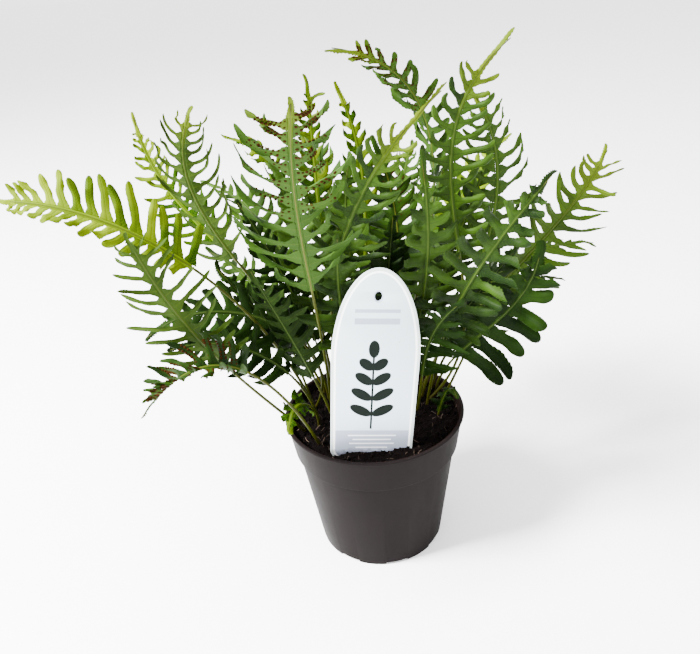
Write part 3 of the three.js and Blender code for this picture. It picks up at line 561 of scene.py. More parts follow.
# %% Reading a lobe from its solid
MIDDLE = 0.55
TAIL_LEAST_HALF = 1.9
TAIL_WIDTH = 1.35
TAIL_OVERLAP = 3.2


@dataclass
class Lobe:
    """One lobe: its root, the two arrows that its curve starts and ends along, and its width."""

    root: np.ndarray
    first: np.ndarray
    last: np.ndarray
    broad: list
    half: float
    root_low: np.ndarray
    root_high: np.ndarray
    shape: int
    sori: bool
    place: float


def only(corners):
    (corner,) = corners
    return corner


def place_of(corner):
    return np.array(corner.co) / MM


def curve_arrows(root, middle, end):
    """The two arrows of the curve that leaves root, passes middle and stops at end."""
    shares = np.array([[MIDDLE - MIDDLE**2 / 2, MIDDLE**2 / 2], [0.5, 0.5]])
    return np.linalg.solve(shares, np.array([middle - root, end - root]))


def across_from(direction, heading):
    """The part of a direction that is square to a heading."""
    return unit(direction - heading * np.dot(direction, heading))


def read_lobe(net, rib, row, rib_corners, side_sign, index, spores_from, fullness):
    first_station = 2 * index + (0 if side_sign == 1 else 1)
    start, end = rib.station(first_station), rib.station(first_station + 2)
    point, forward, side, _ = rib.frame((start + end) / 2)
    root = point + side * side_sign * rib.half_sizes((start + end) / 2)[0]
    edges = [rib.edge(start, side_sign), rib.edge(end, side_sign)]
    edge_corners = [net.corner(edge) for edge in edges]
    centres = net.around(edge_corners[0]) & net.around(edge_corners[1]) - rib_corners
    near = net.around(min(centres, key=lambda corner: corner.index)) - rib_corners
    middles = [only(near & net.around(corner)) for corner in edge_corners]
    ends = near - set(middles)
    if row.blunt:
        ends = [only(ends & net.around(corner)) for corner in middles]
    middles, ends = [[place_of(corner) for corner in pair] for pair in (middles, ends)]
    first, last = curve_arrows(root, np.mean(middles, axis=0), np.mean(ends, axis=0))
    broad_middle = unit(middles[1] - middles[0])
    broad_tip = unit(ends[1] - ends[0]) if row.blunt else across_from(broad_middle, unit(last))
    broad = [across_from(forward, unit(first)), broad_middle, broad_tip]
    low, high = edges if side_sign == 1 else edges[::-1]
    return Lobe(
        root, first, last, [side_sign * direction for direction in broad],
        np.linalg.norm(middles[1] - middles[0]) / 2 * fullness, low, high,
        shape=SHAPE_OF_TONE.get(row.tone, BLUNT if row.blunt else POINTED),
        sori=index / row.pairs >= spores_from, place=index / row.pairs,
    )


def tail_lobe(rib, last_half):
    """The undivided end of a frond, as one more lobe that carries the midrib on."""
    point, _, side, _ = rib.frame(rib.end - TAIL_OVERLAP)
    places = [rib.point(mix(rib.end, rib.length, share)) for share in (MIDDLE, 1)]
    first, last = curve_arrows(point, *places)
    broad = [across_from(-side, unit(arrow)) for arrow in (first, first + last, last)]
    half = max(TAIL_LEAST_HALF, last_half * TAIL_WIDTH)
    low, high = point + side * half, point - side * half
    return Lobe(point, first, last, broad, half, low, high, shape=STRIP, sori=False, place=1)


def read_lobes(name, row, rib):
    net = Net(f"frond_{name}")
    rib_corners = set()
    for index in range(rib.count + 1):
        distance = rib.station(index)
        if index % 2 == 0 or index == rib.count:
            rib_corners.add(net.corner(rib.edge(distance, 1)))
            rib_corners.update(net.corner(rib.spine(distance, sign)) for sign in (1, -1))
        if index % 2 == 1 or index == 0:
            rib_corners.add(net.corner(rib.edge(distance, -1)))
    looks = SPORES_FROM.get(name, NO_SPORES), FULLNESS.get(name, 1)
    lobes = [
        read_lobe(net, rib, row, rib_corners, side_sign, index, *looks)
        for side_sign in (1, -1)
        for index in range(row.pairs)
    ]
    net.body.free()
    return [*lobes, tail_lobe(rib, lobes[-1].half)]


# %% The lobes of all fronds
ribs = {name: Midrib(row) for name, row in FRONDS.items()}
lobes = {name: read_lobes(name, row, ribs[name]) for name, row in FRONDS.items()}
reaches = [np.linalg.norm(lobe.last + lobe.first) / 2 for group in lobes.values() for lobe in group]
print("lobes read:", len(reaches), "longest reach", round(max(reaches), 1), "mm")

# %% [markdown]
# ## The pot
# A thin-walled nursery pot, moulded in dark grey-brown plastic: a straight tapered wall, a step,
# and a wider band that ends in a rolled lip. It is a turned shape, so its section is drawn once, with
# every corner rounded as a mould rounds it, and spun. Eight shallow notches are then cut from the
# foot, where the water leaves.

# %% Pot section
RIM_RADIUS = 60
POT_HEIGHT = 100
LIP_HEIGHT = 1.4
LIP_INSET = 0.8
BAND_HEIGHT = 24.6
BAND_FOOT_RADIUS = 55.5
STEP_RADIUS = 53.6
FOOT_RADIUS = 43
WALL = 1.7
FLOOR_UNDER = 2
FLOOR_TOP = 4
FOOT_RING_WIDTH = 2.6
POT_SIDES = 160
CORNER_STEPS = 4
BAND_BOTTOM = POT_HEIGHT - BAND_HEIGHT
LIP_BOTTOM = POT_HEIGHT - LIP_HEIGHT


def wall_radius(height):
    if height >= BAND_BOTTOM:
        return mix(BAND_FOOT_RADIUS, RIM_RADIUS - LIP_INSET, (height - BAND_BOTTOM) / BAND_HEIGHT)
    return mix(FOOT_RADIUS, STEP_RADIUS, height / BAND_BOTTOM)


def rounded(section):
    """A section of (radius, height, rounding) corners, with each corner turned into a short arc."""
    corners = [np.array(corner[:2], float) for corner in section]
    line = []
    for index, (corner, (_, _, rounding)) in enumerate(zip(corners, section)):
        if rounding == 0:
            line.append(corner)
            continue
        before = corner + unit(corners[index - 1] - corner) * rounding
        after = corner + unit(corners[(index + 1) % len(corners)] - corner) * rounding
        for share in np.linspace(0, 1, CORNER_STEPS + 1):
            line.append(mix(mix(before, corner, share), mix(corner, after, share), share))
    return line


def turned(name, section, sides):
    """A closed solid of revolution. The section's first and last corners lie on the axis."""
    corners, faces = [(0, 0, section[0][1]), (0, 0, section[-1][1])], []
    angles = np.linspace(0, 2 * math.pi, sides, endpoint=False)
    rings = []
    for radius, height in section[1:-1]:
        rings.append(len(corners))
        corners.extend((radius * math.cos(angle), radius * math.sin(angle), height) for angle in angles)
    for side in range(sides):
        other = (side + 1) % sides
        faces.append((0, rings[0] + other, rings[0] + side))
        faces.append((1, rings[-1] + side, rings[-1] + other))
        for low, high in zip(rings, rings[1:]):
            faces.append((low + side, low + other, high + other, high + side))
    return object_from(name, corners, faces)


INNER_RIM = RIM_RADIUS - LIP_INSET - WALL
RING_INSIDE = FOOT_RADIUS - FOOT_RING_WIDTH
pot_section = [
    (0, FLOOR_UNDER, 0),
    (RING_INSIDE, FLOOR_UNDER, 0.4),
    (RING_INSIDE, 0, 0.4),
    (FOOT_RADIUS, 0, 0.8),
    (STEP_RADIUS, BAND_BOTTOM, 0.7),
    (BAND_FOOT_RADIUS, BAND_BOTTOM, 0.7),
    (wall_radius(LIP_BOTTOM), LIP_BOTTOM, 0.3),
    (RIM_RADIUS, LIP_BOTTOM, 0.35),
    (RIM_RADIUS, POT_HEIGHT, 0.6),
    (INNER_RIM, POT_HEIGHT, 0.6),
    (BAND_FOOT_RADIUS - WALL, BAND_BOTTOM + WALL, 0.8),
    (STEP_RADIUS - WALL, BAND_BOTTOM - WALL, 0.8),
    (wall_radius(FLOOR_TOP) - WALL, FLOOR_TOP, 1.0),
    (0, FLOOR_TOP, 0),
]
pot = turned("nursery_pot", rounded(pot_section), POT_SIDES)
print("pot section:", len(pot_section), "corners, turned into", len(pot.data.polygons), "faces")

# %% [markdown]
# The notches are cut with one body of eight blocks, by a Boolean modifier that is then made part
# of the mesh. The edges that stay sharp are marked by their angle, so that the round wall shades
# smoothly and the notches don't.

# %% Foot notches
NOTCHES = 8
NOTCH_WIDTH = 15
NOTCH_HEIGHT = 2
NOTCH_DEPTH = 6
FIRST_NOTCH = -80
SHARP_ANGLE = math.radians(32)


def notch_blocks():
    body = bmesh.new()
    for notch in range(NOTCHES):
        made = bmesh.ops.create_cube(body, size=MM)["verts"]
        bmesh.ops.scale(body, vec=(NOTCH_DEPTH, NOTCH_WIDTH, NOTCH_HEIGHT * 2), verts=made)
        reach = (FOOT_RADIUS - FOOT_RING_WIDTH / 2) * MM
        bmesh.ops.translate(body, vec=(reach, 0, 0), verts=made)
        turn = Matrix.Rotation(math.radians(FIRST_NOTCH + 360 * notch / NOTCHES), 3, "Z")
        bmesh.ops.rotate(body, matrix=turn, verts=made)
    return linked("notch_blocks", mesh_of("notch_blocks", body))


def smoothed(thing):
    """Shades a piece smoothly, apart from its sharp edges."""
    mesh = thing.data
    mesh.polygons.foreach_set("use_smooth", [True] * len(mesh.polygons))
    mesh.set_sharp_from_angle(angle=SHARP_ANGLE)


blocks = notch_blocks()
cut = pot.modifiers.new("notches", "BOOLEAN")
cut.object = blocks
cut.solver = "EXACT"
mesh = result_of(pot)
pot.modifiers.clear()
pot.data = mesh
bpy.data.objects.remove(blocks)
smoothed(pot)
print("pot with notches:", len(pot.data.polygons), "faces")

# %% [markdown]
# The plastic is satin and slightly mottled, as regrind polypropylene is: faint flow marks run up
# the wall, fine scuffs catch the light, and peat dust clings inside the rim.

# %% Pot finish
POT_DARK = swatch(21, 18.5, 18.5)
POT_LIGHT = swatch(26, 23, 23)
POT_SCUFF = swatch(33, 30, 29)
PEAT_DUST = swatch(28, 18, 14)
MOTTLE_SCALE = 38
FLOW_SCALE = 160
FLOW_STRETCH = (1.0, 1.0, 0.12)
FLOW_SHARE = 0.25
GRAIN_SCALE = 2400
SCUFF_SCALE = 210
SCUFF_STRETCH = (1.0, 1.0, 3.0)
SCUFF_FROM = 0.62
SCUFF_SHARPNESS = 6
SCUFF_SHARE = 0.3
DUST_SCALE = 420
DUST_FROM = 0.35
DUST_STRENGTH = 2.2
POT_ROUGHNESS = 0.36


def pot_finish():
    plastic = Finish("satin_pot_plastic", IOR=1.49, Specular_IOR_Level=0.012)
    x, y, height = plastic.place.parts()
    mottle = plastic.noise(plastic.place, MOTTLE_SCALE, detail=4)
    flow = plastic.noise(plastic.place * FLOW_STRETCH, FLOW_SCALE, detail=2)
    grain = plastic.noise(plastic.place, GRAIN_SCALE, detail=2)
    scratches = plastic.noise(plastic.place * SCUFF_STRETCH, SCUFF_SCALE, detail=6, roughness=0.75)
    scuffs = ((scratches - SCUFF_FROM) * SCUFF_SHARPNESS).clamped()
    colour = plastic.mixed(mottle, POT_DARK, POT_LIGHT)
    colour = plastic.mixed(flow * FLOW_SHARE, colour, POT_LIGHT)
    colour = plastic.mixed(scuffs * SCUFF_SHARE, colour, POT_SCUFF)
    radius = (x * x + y * y) ** 0.5
    slope = (RIM_RADIUS - LIP_INSET - BAND_FOOT_RADIUS) / BAND_HEIGHT
    mid_wall = (height / MM - BAND_BOTTOM) * slope + (BAND_FOOT_RADIUS - WALL / 2)
    inside = (mid_wall - radius / MM).above(0) * (height / MM).above(BAND_BOTTOM)
    specks = plastic.noise(plastic.place, DUST_SCALE, detail=4)
    dust = inside * (specks - DUST_FROM).clamped() * DUST_STRENGTH
    colour = plastic.mixed(dust.clamped(), colour, PEAT_DUST)
    plastic.paint(colour, (mottle * 0.16 + flow * 0.1 + dust * 0.3 + POT_ROUGHNESS).clamped())
    plastic.bump(grain * 0.6 + flow * 0.5 + mottle, distance=0.08 * MM, strength=0.6)
    return plastic.material


pot.data.materials.append(pot_finish())
keep(pot, "pot")

# %% [markdown]
# ## One lobe, drawn once
# All the lobes are alike but for their size and bend, so one is modelled flat and straight, from 0
# to 1 along and from -1 to 1 across, and repeated. It has what a faceted lobe lacks: a rounded
# end, a finely scalloped margin, a groove over its midrib and a ridge under it. The margin is one
# row of shared corners, so the thin body is closed. Four outlines are enough: a blunt one, a
# pointed one, a tapered one, and the notched strip at the end of a frond.

# %% Outlines of a lobe
SWELLING = 0.14
SWELLING_POWER = 1.4


def rounded_off(along, start, power, root):
    """1 up to a start along the lobe, and from there down to 0 at its end in a round line."""
    past = max(0, (along - start) / (1 - start))
    return (1 - past**power) ** root


def blunt_width(along):
    swelling = 1 + SWELLING * np.sin(math.pi * along**SWELLING_POWER)
    return swelling * rounded_off(along, start=0.6, power=2.4, root=0.55)


def pointed_width(along):
    return rounded_off(along, start=0.3, power=1.7, root=0.85)


def tapered_width(along):
    return mix(1.15, 0.65, along) * rounded_off(along, start=0.8, power=2, root=0.55)


def strip_width(along):
    return mix(1, 0.55, along) * rounded_off(along, start=0.86, power=2, root=0.5)


for width_at in (blunt_width, pointed_width, tapered_width, strip_width):
    print(width_at.__name__, "at the middle:", round(float(width_at(0.5)), 3))

# %% Lobe shapes
LOBE_STEPS = 24
ACROSS = (-1, -0.62, -0.16, 0, 0.16, 0.62, 1)
SCALLOP = 0.1
STRIP_SCALLOP = 0.34
BODY_HALF = 0.2
GROOVE = 0.12
RIDGE = 0.2


def lobe_shape(name, width_at, scallop):
    """A closed flat lobe. Each corner also carries its place on the lobe as lobe_place."""
    shares = np.linspace(0, 1, LOBE_STEPS + 1)[:-1]
    shares = mix(shares, (1 - np.cos(math.pi * shares)) / 2, 0.5)
    corners, faces, margin = [], [], set()
    tops, bottoms = [], []
    for step, along in enumerate(shares):
        half = width_at(along) * (1 + scallop * (step % 2 - 0.5))
        top_row, bottom_row = [], []
        for share in ACROSS:
            body = BODY_HALF * math.sqrt(1 - share**2)
            top_row.append(len(corners))
            corners.append((along, share * half, body - GROOVE * (share == 0)))
            if abs(share) == 1:
                margin.add(top_row[-1])
                bottom_row.append(top_row[-1])
                continue
            bottom_row.append(len(corners))
            corners.append((along, share * half, -body - RIDGE * (share == 0) * (1 - along)))
        tops.append(top_row)
        bottoms.append(bottom_row)
    tip = len(corners)
    corners.append((1, 0, 0))
    margin.add(tip)
    for column in range(len(ACROSS) - 1):
        for row, outer in zip(tops, tops[1:]):
            faces.append((row[column], outer[column], outer[column + 1], row[column + 1]))
        for row, outer in zip(bottoms, bottoms[1:]):
            faces.append((row[column + 1], outer[column + 1], outer[column], row[column]))
        faces.append((tops[-1][column], tip, tops[-1][column + 1]))
        faces.append((bottoms[-1][column + 1], tip, bottoms[-1][column]))
        root = (tops[0][column], tops[0][column + 1], bottoms[0][column + 1], bottoms[0][column])
        faces.append(tuple(dict.fromkeys(root)))
    corners = np.array(corners, float)
    corners[:, 2] *= MM
    shape = object_from(name, corners / MM, faces)
    for edge in shape.data.edges:
        edge.use_edge_sharp = margin.issuperset(edge.vertices)
    add_values(shape.data, "lobe_place", "FLOAT_VECTOR", corners)
    print(name, len(corners), "corners", len(faces), "faces")
    return shape


OUTLINES = {
    "a_blunt": (blunt_width, SCALLOP),
    "b_pointed": (pointed_width, SCALLOP),
    "c_tapered": (tapered_width, SCALLOP),
    "d_strip": (strip_width, STRIP_SCALLOP),
}
lobe_shapes = shelf(
    "lobe_shapes", [lobe_shape(f"lobe_{name}", *outline) for name, outline in OUTLINES.items()]
)

# %% [markdown]
# The letters a to d in those names matter: a tree picks a shape by its place in their order.
# Under a fertile lobe lie two rows of round spore heaps. Their places are loose points on the same
# flat lobe, so that they bend with it. The heap is one small flattened ball, half in the leaf.

# %% Spore heaps
SORI_REACH = (0.06, 0.66)
SORI_IN_A_ROW = 8
SORUS_ASIDE = 0.5
DOME_HEIGHT = 0.55
DOME_UNEVEN = 0.08
DOME_WAVES = (9, 7)


def sorus_places(name):
    """The places of the spore heaps under a lobe, as loose points."""
    places = [
        (along, side * SORUS_ASIDE * blunt_width(along), -BODY_HALF * MM)
        for along in np.linspace(*SORI_REACH, SORI_IN_A_ROW)
        for side in (-1, 1)
    ]
    shape = object_from(name, np.array(places) / MM, [])
    add_values(shape.data, "lobe_place", "FLOAT_VECTOR", places)
    return shape


def sorus_dome(name):
    """A flattened, uneven ball of spore cases, one millimetre in radius."""
    body = bmesh.new()
    bmesh.ops.create_icosphere(body, subdivisions=2, radius=MM)
    for corner in body.verts:
        corner.co.z *= DOME_HEIGHT
        waves = DOME_WAVES[0] * corner.co.x / MM + DOME_WAVES[1] * corner.co.y / MM
        corner.co *= 1 + DOME_UNEVEN * math.sin(waves)
    return linked(name, mesh_of(name, body))


sorus_points = sorus_places("sorus_places")
dome = sorus_dome("sorus_dome")
print("spore heaps under a lobe:", len(sorus_points.data.vertices))

# %% [markdown]
# ## The tree that grows a frond
# Geometry Nodes fit here, because a frond is one shape repeated along a path. The tree gets a mesh
# of bare points: those of the midrib, joined by edges, and one for each lobe, which carries the
# arrows of that lobe's curve as attributes. A flat lobe is placed on each lobe point, made real,
# and every corner of it is then moved to where the curve takes it. The midrib becomes two swept
# bodies: a round stalk that runs through, and a thin wing of leaf that the lobes stand on.
#
# The nodes that come up again and again get a short call of their own first. A random value's
# sockets for low, high and the result have other numbers for each kind of value.

# %% Short calls for common nodes
RANDOM_SOCKETS = {"FLOAT_VECTOR": (0, 1, 0), "FLOAT": (2, 3, 1), "INT": (4, 5, 2)}


def named(board, name, kind="FLOAT"):
    return board.wire("GeometryNodeInputNamedAttribute", {"data_type": kind}, {"Name": name})


def named_vector(board, name):
    return named(board, name, "FLOAT_VECTOR")


def stored(board, geometry, name, value, kind="FLOAT_VECTOR"):
    inputs = {"Geometry": geometry, "Name": name, "Value": value}
    return board.wire("GeometryNodeStoreNamedAttribute", {"data_type": kind}, inputs)


def combined(board, **parts):
    """A vector from its x, y and z, each 0 where it isn't given."""
    return board.wire("ShaderNodeCombineXYZ", {}, {part.upper(): value for part, value in parts.items()})


def instances(board, points, instance, **more):
    inputs = {"Points": points, "Instance": instance}
    inputs.update({name.replace("_", " "): value for name, value in more.items()})
    return board.wire("GeometryNodeInstanceOnPoints", {}, inputs)


def realized(board, geometry):
    return board.wire("GeometryNodeRealizeInstances", {}, {"Geometry": geometry})


def painted(board, geometry, material):
    inputs = {"Geometry": geometry, "Material": material}
    return board.wire("GeometryNodeSetMaterial", {}, inputs)


def chosen(board, geometry, selection):
    inputs = {"Geometry": geometry, "Selection": selection}
    return board.wire("GeometryNodeSeparateGeometry", {}, inputs)


def joined(board, *parts):
    whole = board.wire("GeometryNodeJoinGeometry")
    for part in parts:
        board.tree.links.new(part.socket, whole.socket.node.inputs[0])
    return whole


def shapes_on(board, shelf_of_shapes):
    """The shapes of a shelf, one instance each, to pick from."""
    inputs = {"Collection": shelf_of_shapes, "Separate Children": True, "Reset Children": True}
    return board.wire("GeometryNodeCollectionInfo", {}, inputs)


def object_in(board, thing):
    return board.wire("GeometryNodeObjectInfo", {}, {"Object": thing}, output="Geometry")


def random_value(board, kind, low, high, seed):
    """A random number or vector between low and high, another one for each point."""
    low_socket, high_socket, output = RANDOM_SOCKETS[kind]
    inputs = {low_socket: low, high_socket: high, "Seed": seed}
    return board.wire("FunctionNodeRandomValue", {"data_type": kind}, inputs, output=output)


# %% [markdown]
# A lobe's curve leaves its root along the first arrow and ends along the last. Across the curve
# lies the broad direction, which turns from root to tip as the solid's does. Near the midrib the
# lobe flares out to meet its neighbours, so that the sinus between two lobes is round. Past that it
# is free: it rolls down at both margins, ripples, twists a little and curls, each lobe by its own
# amount. A lobe's phase sets where its ripples start, and how much it rolls.

# %% Bending the lobes
FLARE = 0.2
FLARE_POWER = 1.6
ROLL_SPREAD = 0.5
ROLL_SHRINK = 0.36
MARGIN_WAVES = 13
SLOW_WAVES = 5
FREE_FROM = 0.4
SWAY_SHARE = 0.6


def curve_of_lobe(along):
    """Where the middle of a lobe runs, and which way it heads there."""
    board = along.board
    root, first, last = (named_vector(board, f"lobe_{part}") for part in ("root", "first", "last"))
    late_share = along * along * 0.5
    return root + first * (along - late_share) + last * late_share, first * (1 - along) + last * along


def bent_lobes(board, geometry, ripple, arch):
    """Flat lobes, each corner moved to its place on the lobe's curve, with a twist of its own."""
    along, across, height = named_vector(board, "lobe_place").parts()
    half, phase = named(board, "lobe_half"), named(board, "lobe_phase")
    curve, heading = curve_of_lobe(along)
    early = (1 - along / MIDDLE).at_least(0)
    late = ((along - MIDDLE) / (1 - MIDDLE)).at_least(0)
    broad_root = named_vector(board, "broad_root")
    broad = broad_root * early + named_vector(board, "broad_middle") * (1 - early - late)
    broad = (broad + named_vector(board, "broad_tip") * late).unit()
    normal = heading.unit().cross(broad).unit()
    twist = named(board, "lobe_twist") * along
    sine, cosine = twist.sine(), (twist + math.pi / 2).sine()
    turned_broad, turned_normal = broad * cosine + normal * sine, normal * cosine - broad * sine

    low, high = named_vector(board, "root_low"), named_vector(board, "root_high")
    root_line = low + (high - low) * ((across + 1) * 0.5)
    spread = across * half * (1 - across * across * arch * ROLL_SHRINK)
    flare = root_line - named_vector(board, "lobe_root") - broad_root * spread
    hold = (1 - ((along / FLARE).at_most(1)) ** 2) ** FLARE_POWER

    quick = (along * MARGIN_WAVES + across * 2 + phase).sine()
    slow = (along * SLOW_WAVES + phase * 3).sine()
    wander = (along * SLOW_WAVES + phase).sine()
    edge = across * across * (1 - early)
    free = along.at_most(FREE_FROM) / FREE_FROM
    roll = arch * half * ((phase * 7).sine() * ROLL_SPREAD + 1)
    lift = height + edge * (quick * ripple - roll) + free * slow * ripple
    far = along * along
    sway = far * named(board, "lobe_bow") + free * wander * ripple * SWAY_SHARE
    place = curve + turned_broad * (spread + sway) + flare * hold + turned_normal * lift
    place = place + normal * (far * named(board, "lobe_curl"))
    geometry = board.wire("GeometryNodeSetPosition", {}, {"Geometry": geometry, "Position": place})
    geometry = stored(board, geometry, "lobe_normal", turned_normal)
    length = named(board, "lobe_length")
    pattern = combined(board, x=along * length / MM, y=across * half / MM, z=height / MM)
    return stored(board, geometry, "leaf_mm", pattern)


# %% [markdown]
# A tube along a curve has a round section. To make a leafy wing of it, every corner is pressed
# towards the curve along the frond's upper direction, which flattens the tube to a blade.

# %% Sweeping the midrib
STALK_SIDES = 8
WING_SIDES = 8
WING_THINNESS = 0.16
WING_OVERLAP = 1.1
WING_LEAST = 0.01


def swept(board, curve, radius, sides, thickness):
    """A closed body along a curve: round where thickness is 1, and pressed flat below that."""
    profile = board.wire("GeometryNodeCurvePrimitiveCircle", {}, {"Resolution": sides, "Radius": 1.0})
    inputs = {"Curve": curve, "Profile Curve": profile, "Scale": radius, "Fill Caps": True}
    body = board.wire("GeometryNodeCurveToMesh", {}, inputs)
    place = board.wire("GeometryNodeInputPosition")
    upper = named_vector(board, "rib_upper")
    rise = (place - named_vector(board, "rib_place")).dot(upper)
    pressed = place - upper * (rise * (1 - thickness))
    return board.wire("GeometryNodeSetPosition", {}, {"Geometry": body, "Position": pressed})


# %% The frond tree
SORUS_SPREAD = (0.7, 1.2)


def frond_tree():
    tree, board, given = tree_with(
        "frond",
        Lobe_shapes=("Collection", None),
        Sorus_places=("Object", None),
        Sorus=("Object", None),
        Blade=("Material", None),
        Stalk=("Material", None),
        Spores=("Material", None),
        Ripple=("Float", 0.65 * MM),
        Arch=("Float", 0.55),
        Sorus_size=("Float", 0.52),
        Seed=("Int", 3),
    )
    points = given["Geometry"]
    rib = chosen(board, points, named(board, "is_rib").above(0.5))
    lobe_points = chosen(board, points, named(board, "is_lobe").above(0.5))

    curve = board.wire("GeometryNodeMeshToCurve", {}, {"Mesh": rib})
    curve = stored(board, curve, "rib_place", board.wire("GeometryNodeInputPosition"))
    stalk = swept(board, curve, named(board, "rib_radius"), STALK_SIDES, thickness=1)
    winged = chosen(board, curve, named(board, "rib_wing").above(WING_LEAST * MM))
    wing = swept(board, winged, named(board, "rib_wing") * WING_OVERLAP, WING_SIDES, WING_THINNESS)
    wing = stored(board, wing, "leaf_mm", combined(board, y=1.0))

    shapes = shapes_on(board, given["Lobe shapes"])
    kind = named(board, "lobe_shape")
    flat = realized(board, instances(board, lobe_points, shapes, Pick_Instance=True, Instance_Index=kind))
    leaf = joined(board, wing, bent_lobes(board, flat, given["Ripple"], given["Arch"]))

    fertile = chosen(board, lobe_points, named(board, "lobe_sori").above(0.5))
    spots = realized(board, instances(board, fertile, object_in(board, given["Sorus places"])))
    under = bent_lobes(board, spots, 0.0, given["Arch"])
    downward = {"Vector": named_vector(board, "lobe_normal")}
    facing = board.wire("FunctionNodeAlignRotationToVector", {"axis": "Z"}, downward)
    least, most = (given["Sorus size"] * share for share in SORUS_SPREAD)
    size = random_value(board, "FLOAT", least, most, given["Seed"])
    heap = object_in(board, given["Sorus"])
    heaps = realized(board, instances(board, under, heap, Rotation=facing, Scale=size))

    pieces = (leaf, given["Blade"]), (stalk, given["Stalk"]), (heaps, given["Spores"])
    whole = joined(board, *(painted(board, piece, material) for piece, material in pieces))
    board.node("NodeGroupOutput", {}, {0: whole})
    return tree


growth = frond_tree()
print("frond tree:", len(growth.nodes), "nodes")

# %% [markdown]
# ## The peat
# Potting peat is a heap of crumbs, from dust to lumps of four millimetres, with pale root threads
# between them. The plug itself is one closed body with a lumpy top. Two layers of crumbs and a
# sprinkling of threads are then scattered over that top by a Geometry Nodes tree, each with its
# own turn and size, and made real.

# %% Peat plug
CROWN = 2.5
BUMPS = 0.86
LONG_WAVE = (0.19, 0.23, 1.3)
SHORT_WAVE = (0.41, 0.37)
SHORT_SHARE = 0.5
WALL_GAP = 0.4
EDGE_GAP = 0.2
SOIL_RINGS = 44
SOIL_SIDES = 132
SOIL_EDGE = wall_radius(SOIL_LEVEL) - WALL - WALL_GAP - EDGE_GAP


def soil_height(x, y):
    """The same gentle lumps as the CAD solid has."""
    share = math.hypot(x, y) / SOIL_EDGE
    long = math.sin(x * LONG_WAVE[0] + LONG_WAVE[2]) * math.cos(y * LONG_WAVE[1])
    lumps = long + SHORT_SHARE * math.sin(x * SHORT_WAVE[0] - y * SHORT_WAVE[1])
    return SOIL_LEVEL + CROWN * (1 - share**2) + BUMPS * lumps


def peat_plug():
    """The closed plug, whose top corners are marked for the tree."""
    bottom_radius = wall_radius(FLOOR_TOP) - WALL - WALL_GAP
    section = [(0, FLOOR_TOP + WALL_GAP), (bottom_radius, FLOOR_TOP + WALL_GAP)]
    section.append((STEP_RADIUS - WALL - WALL_GAP, BAND_BOTTOM - WALL))
    section.extend((radius, SOIL_LEVEL) for radius in np.linspace(SOIL_EDGE, 0, SOIL_RINGS))
    plug = turned("peat_plug", section, SOIL_SIDES)
    marks = []
    for corner in plug.data.vertices:
        on_top = corner.co.z > (SOIL_LEVEL - 1) * MM
        marks.append(float(on_top))
        if on_top:
            corner.co.z = soil_height(corner.co.x / MM, corner.co.y / MM) * MM
    add_values(plug.data, "is_top", "FLOAT", marks)
    return plug


plug = peat_plug()
print("peat plug:", len(plug.data.polygons), "faces")

# %% Crumbs and root threads
CRUMB_STRETCH = (0.6, 1.3)
CRUMB_UNEVEN = (0.7, 1.15)
THREAD_STEPS = 5
THREAD_SIDES = 3
THREAD_RADIUS = 0.13
THREAD_LENGTH = 6
THREAD_BEND = 1.2


def crumb(name, seed, detail):
    """An irregular lump, one millimetre in radius."""
    rolls = np.random.default_rng(seed)
    body = bmesh.new()
    bmesh.ops.create_icosphere(body, subdivisions=detail, radius=MM)
    stretch = Vector(rolls.uniform(*CRUMB_STRETCH, 3))
    for corner in body.verts:
        corner.co = corner.co * stretch * rolls.uniform(*CRUMB_UNEVEN)
    return bpy.data.objects.new(name, mesh_of(name, body))


def thread(name, seed):
    """A short bent root thread."""
    bend = np.random.default_rng(seed).uniform(-THREAD_BEND, THREAD_BEND, 2)
    corners, faces = [], []
    for step in range(THREAD_STEPS + 1):
        share = step / THREAD_STEPS - 0.5
        middle = np.array([THREAD_LENGTH * share, bend[0] * (4 * share**2 - 1), 0.5 + bend[1] * share**2])
        for side in range(THREAD_SIDES):
            angle = 2 * math.pi * side / THREAD_SIDES
            corners.append(middle + np.array([0, math.cos(angle), math.sin(angle)]) * THREAD_RADIUS)
    for step in range(THREAD_STEPS):
        for side in range(THREAD_SIDES):
            low = step * THREAD_SIDES + side
            other = step * THREAD_SIDES + (side + 1) % THREAD_SIDES
            faces.append((low, low + THREAD_SIDES, other + THREAD_SIDES, other))
    faces.append(tuple(range(THREAD_SIDES)))
    faces.append(tuple(reversed(range(THREAD_STEPS * THREAD_SIDES, (THREAD_STEPS + 1) * THREAD_SIDES))))
    thing = object_from(name, corners, faces)
    bpy.context.scene.collection.objects.unlink(thing)
    return thing


lumps = shelf("lumps", [crumb(f"lump_{seed}", seed, 2) for seed in range(4)])
grains = shelf("grains", [crumb(f"grain_{seed}", seed + 20, 1) for seed in range(5)])
threads = shelf("threads", [thread(f"thread_{seed}", seed + 40) for seed in range(5)])

# %% [markdown]
# Small crumbs are more common than big ones, so the size of each is drawn as a square. The
# densities are counts for a square metre of the top. Lumps sink into it a little, while grains
# and threads lie on it.

# %% The peat tree
CLOD_SCALE = 190
FULL_TURN = 6.28
MOST_SHAPES = 9
LUMP_RULES = {"sizes": (0.7, 2.0), "seed": 5, "sink": 0.2 * MM}
GRAIN_RULES = {"sizes": (0.25, 1.0), "seed": 11, "sink": -0.1 * MM}
THREAD_RULES = {"sizes": (0.3, 1.2), "seed": 17, "sink": -0.7 * MM}


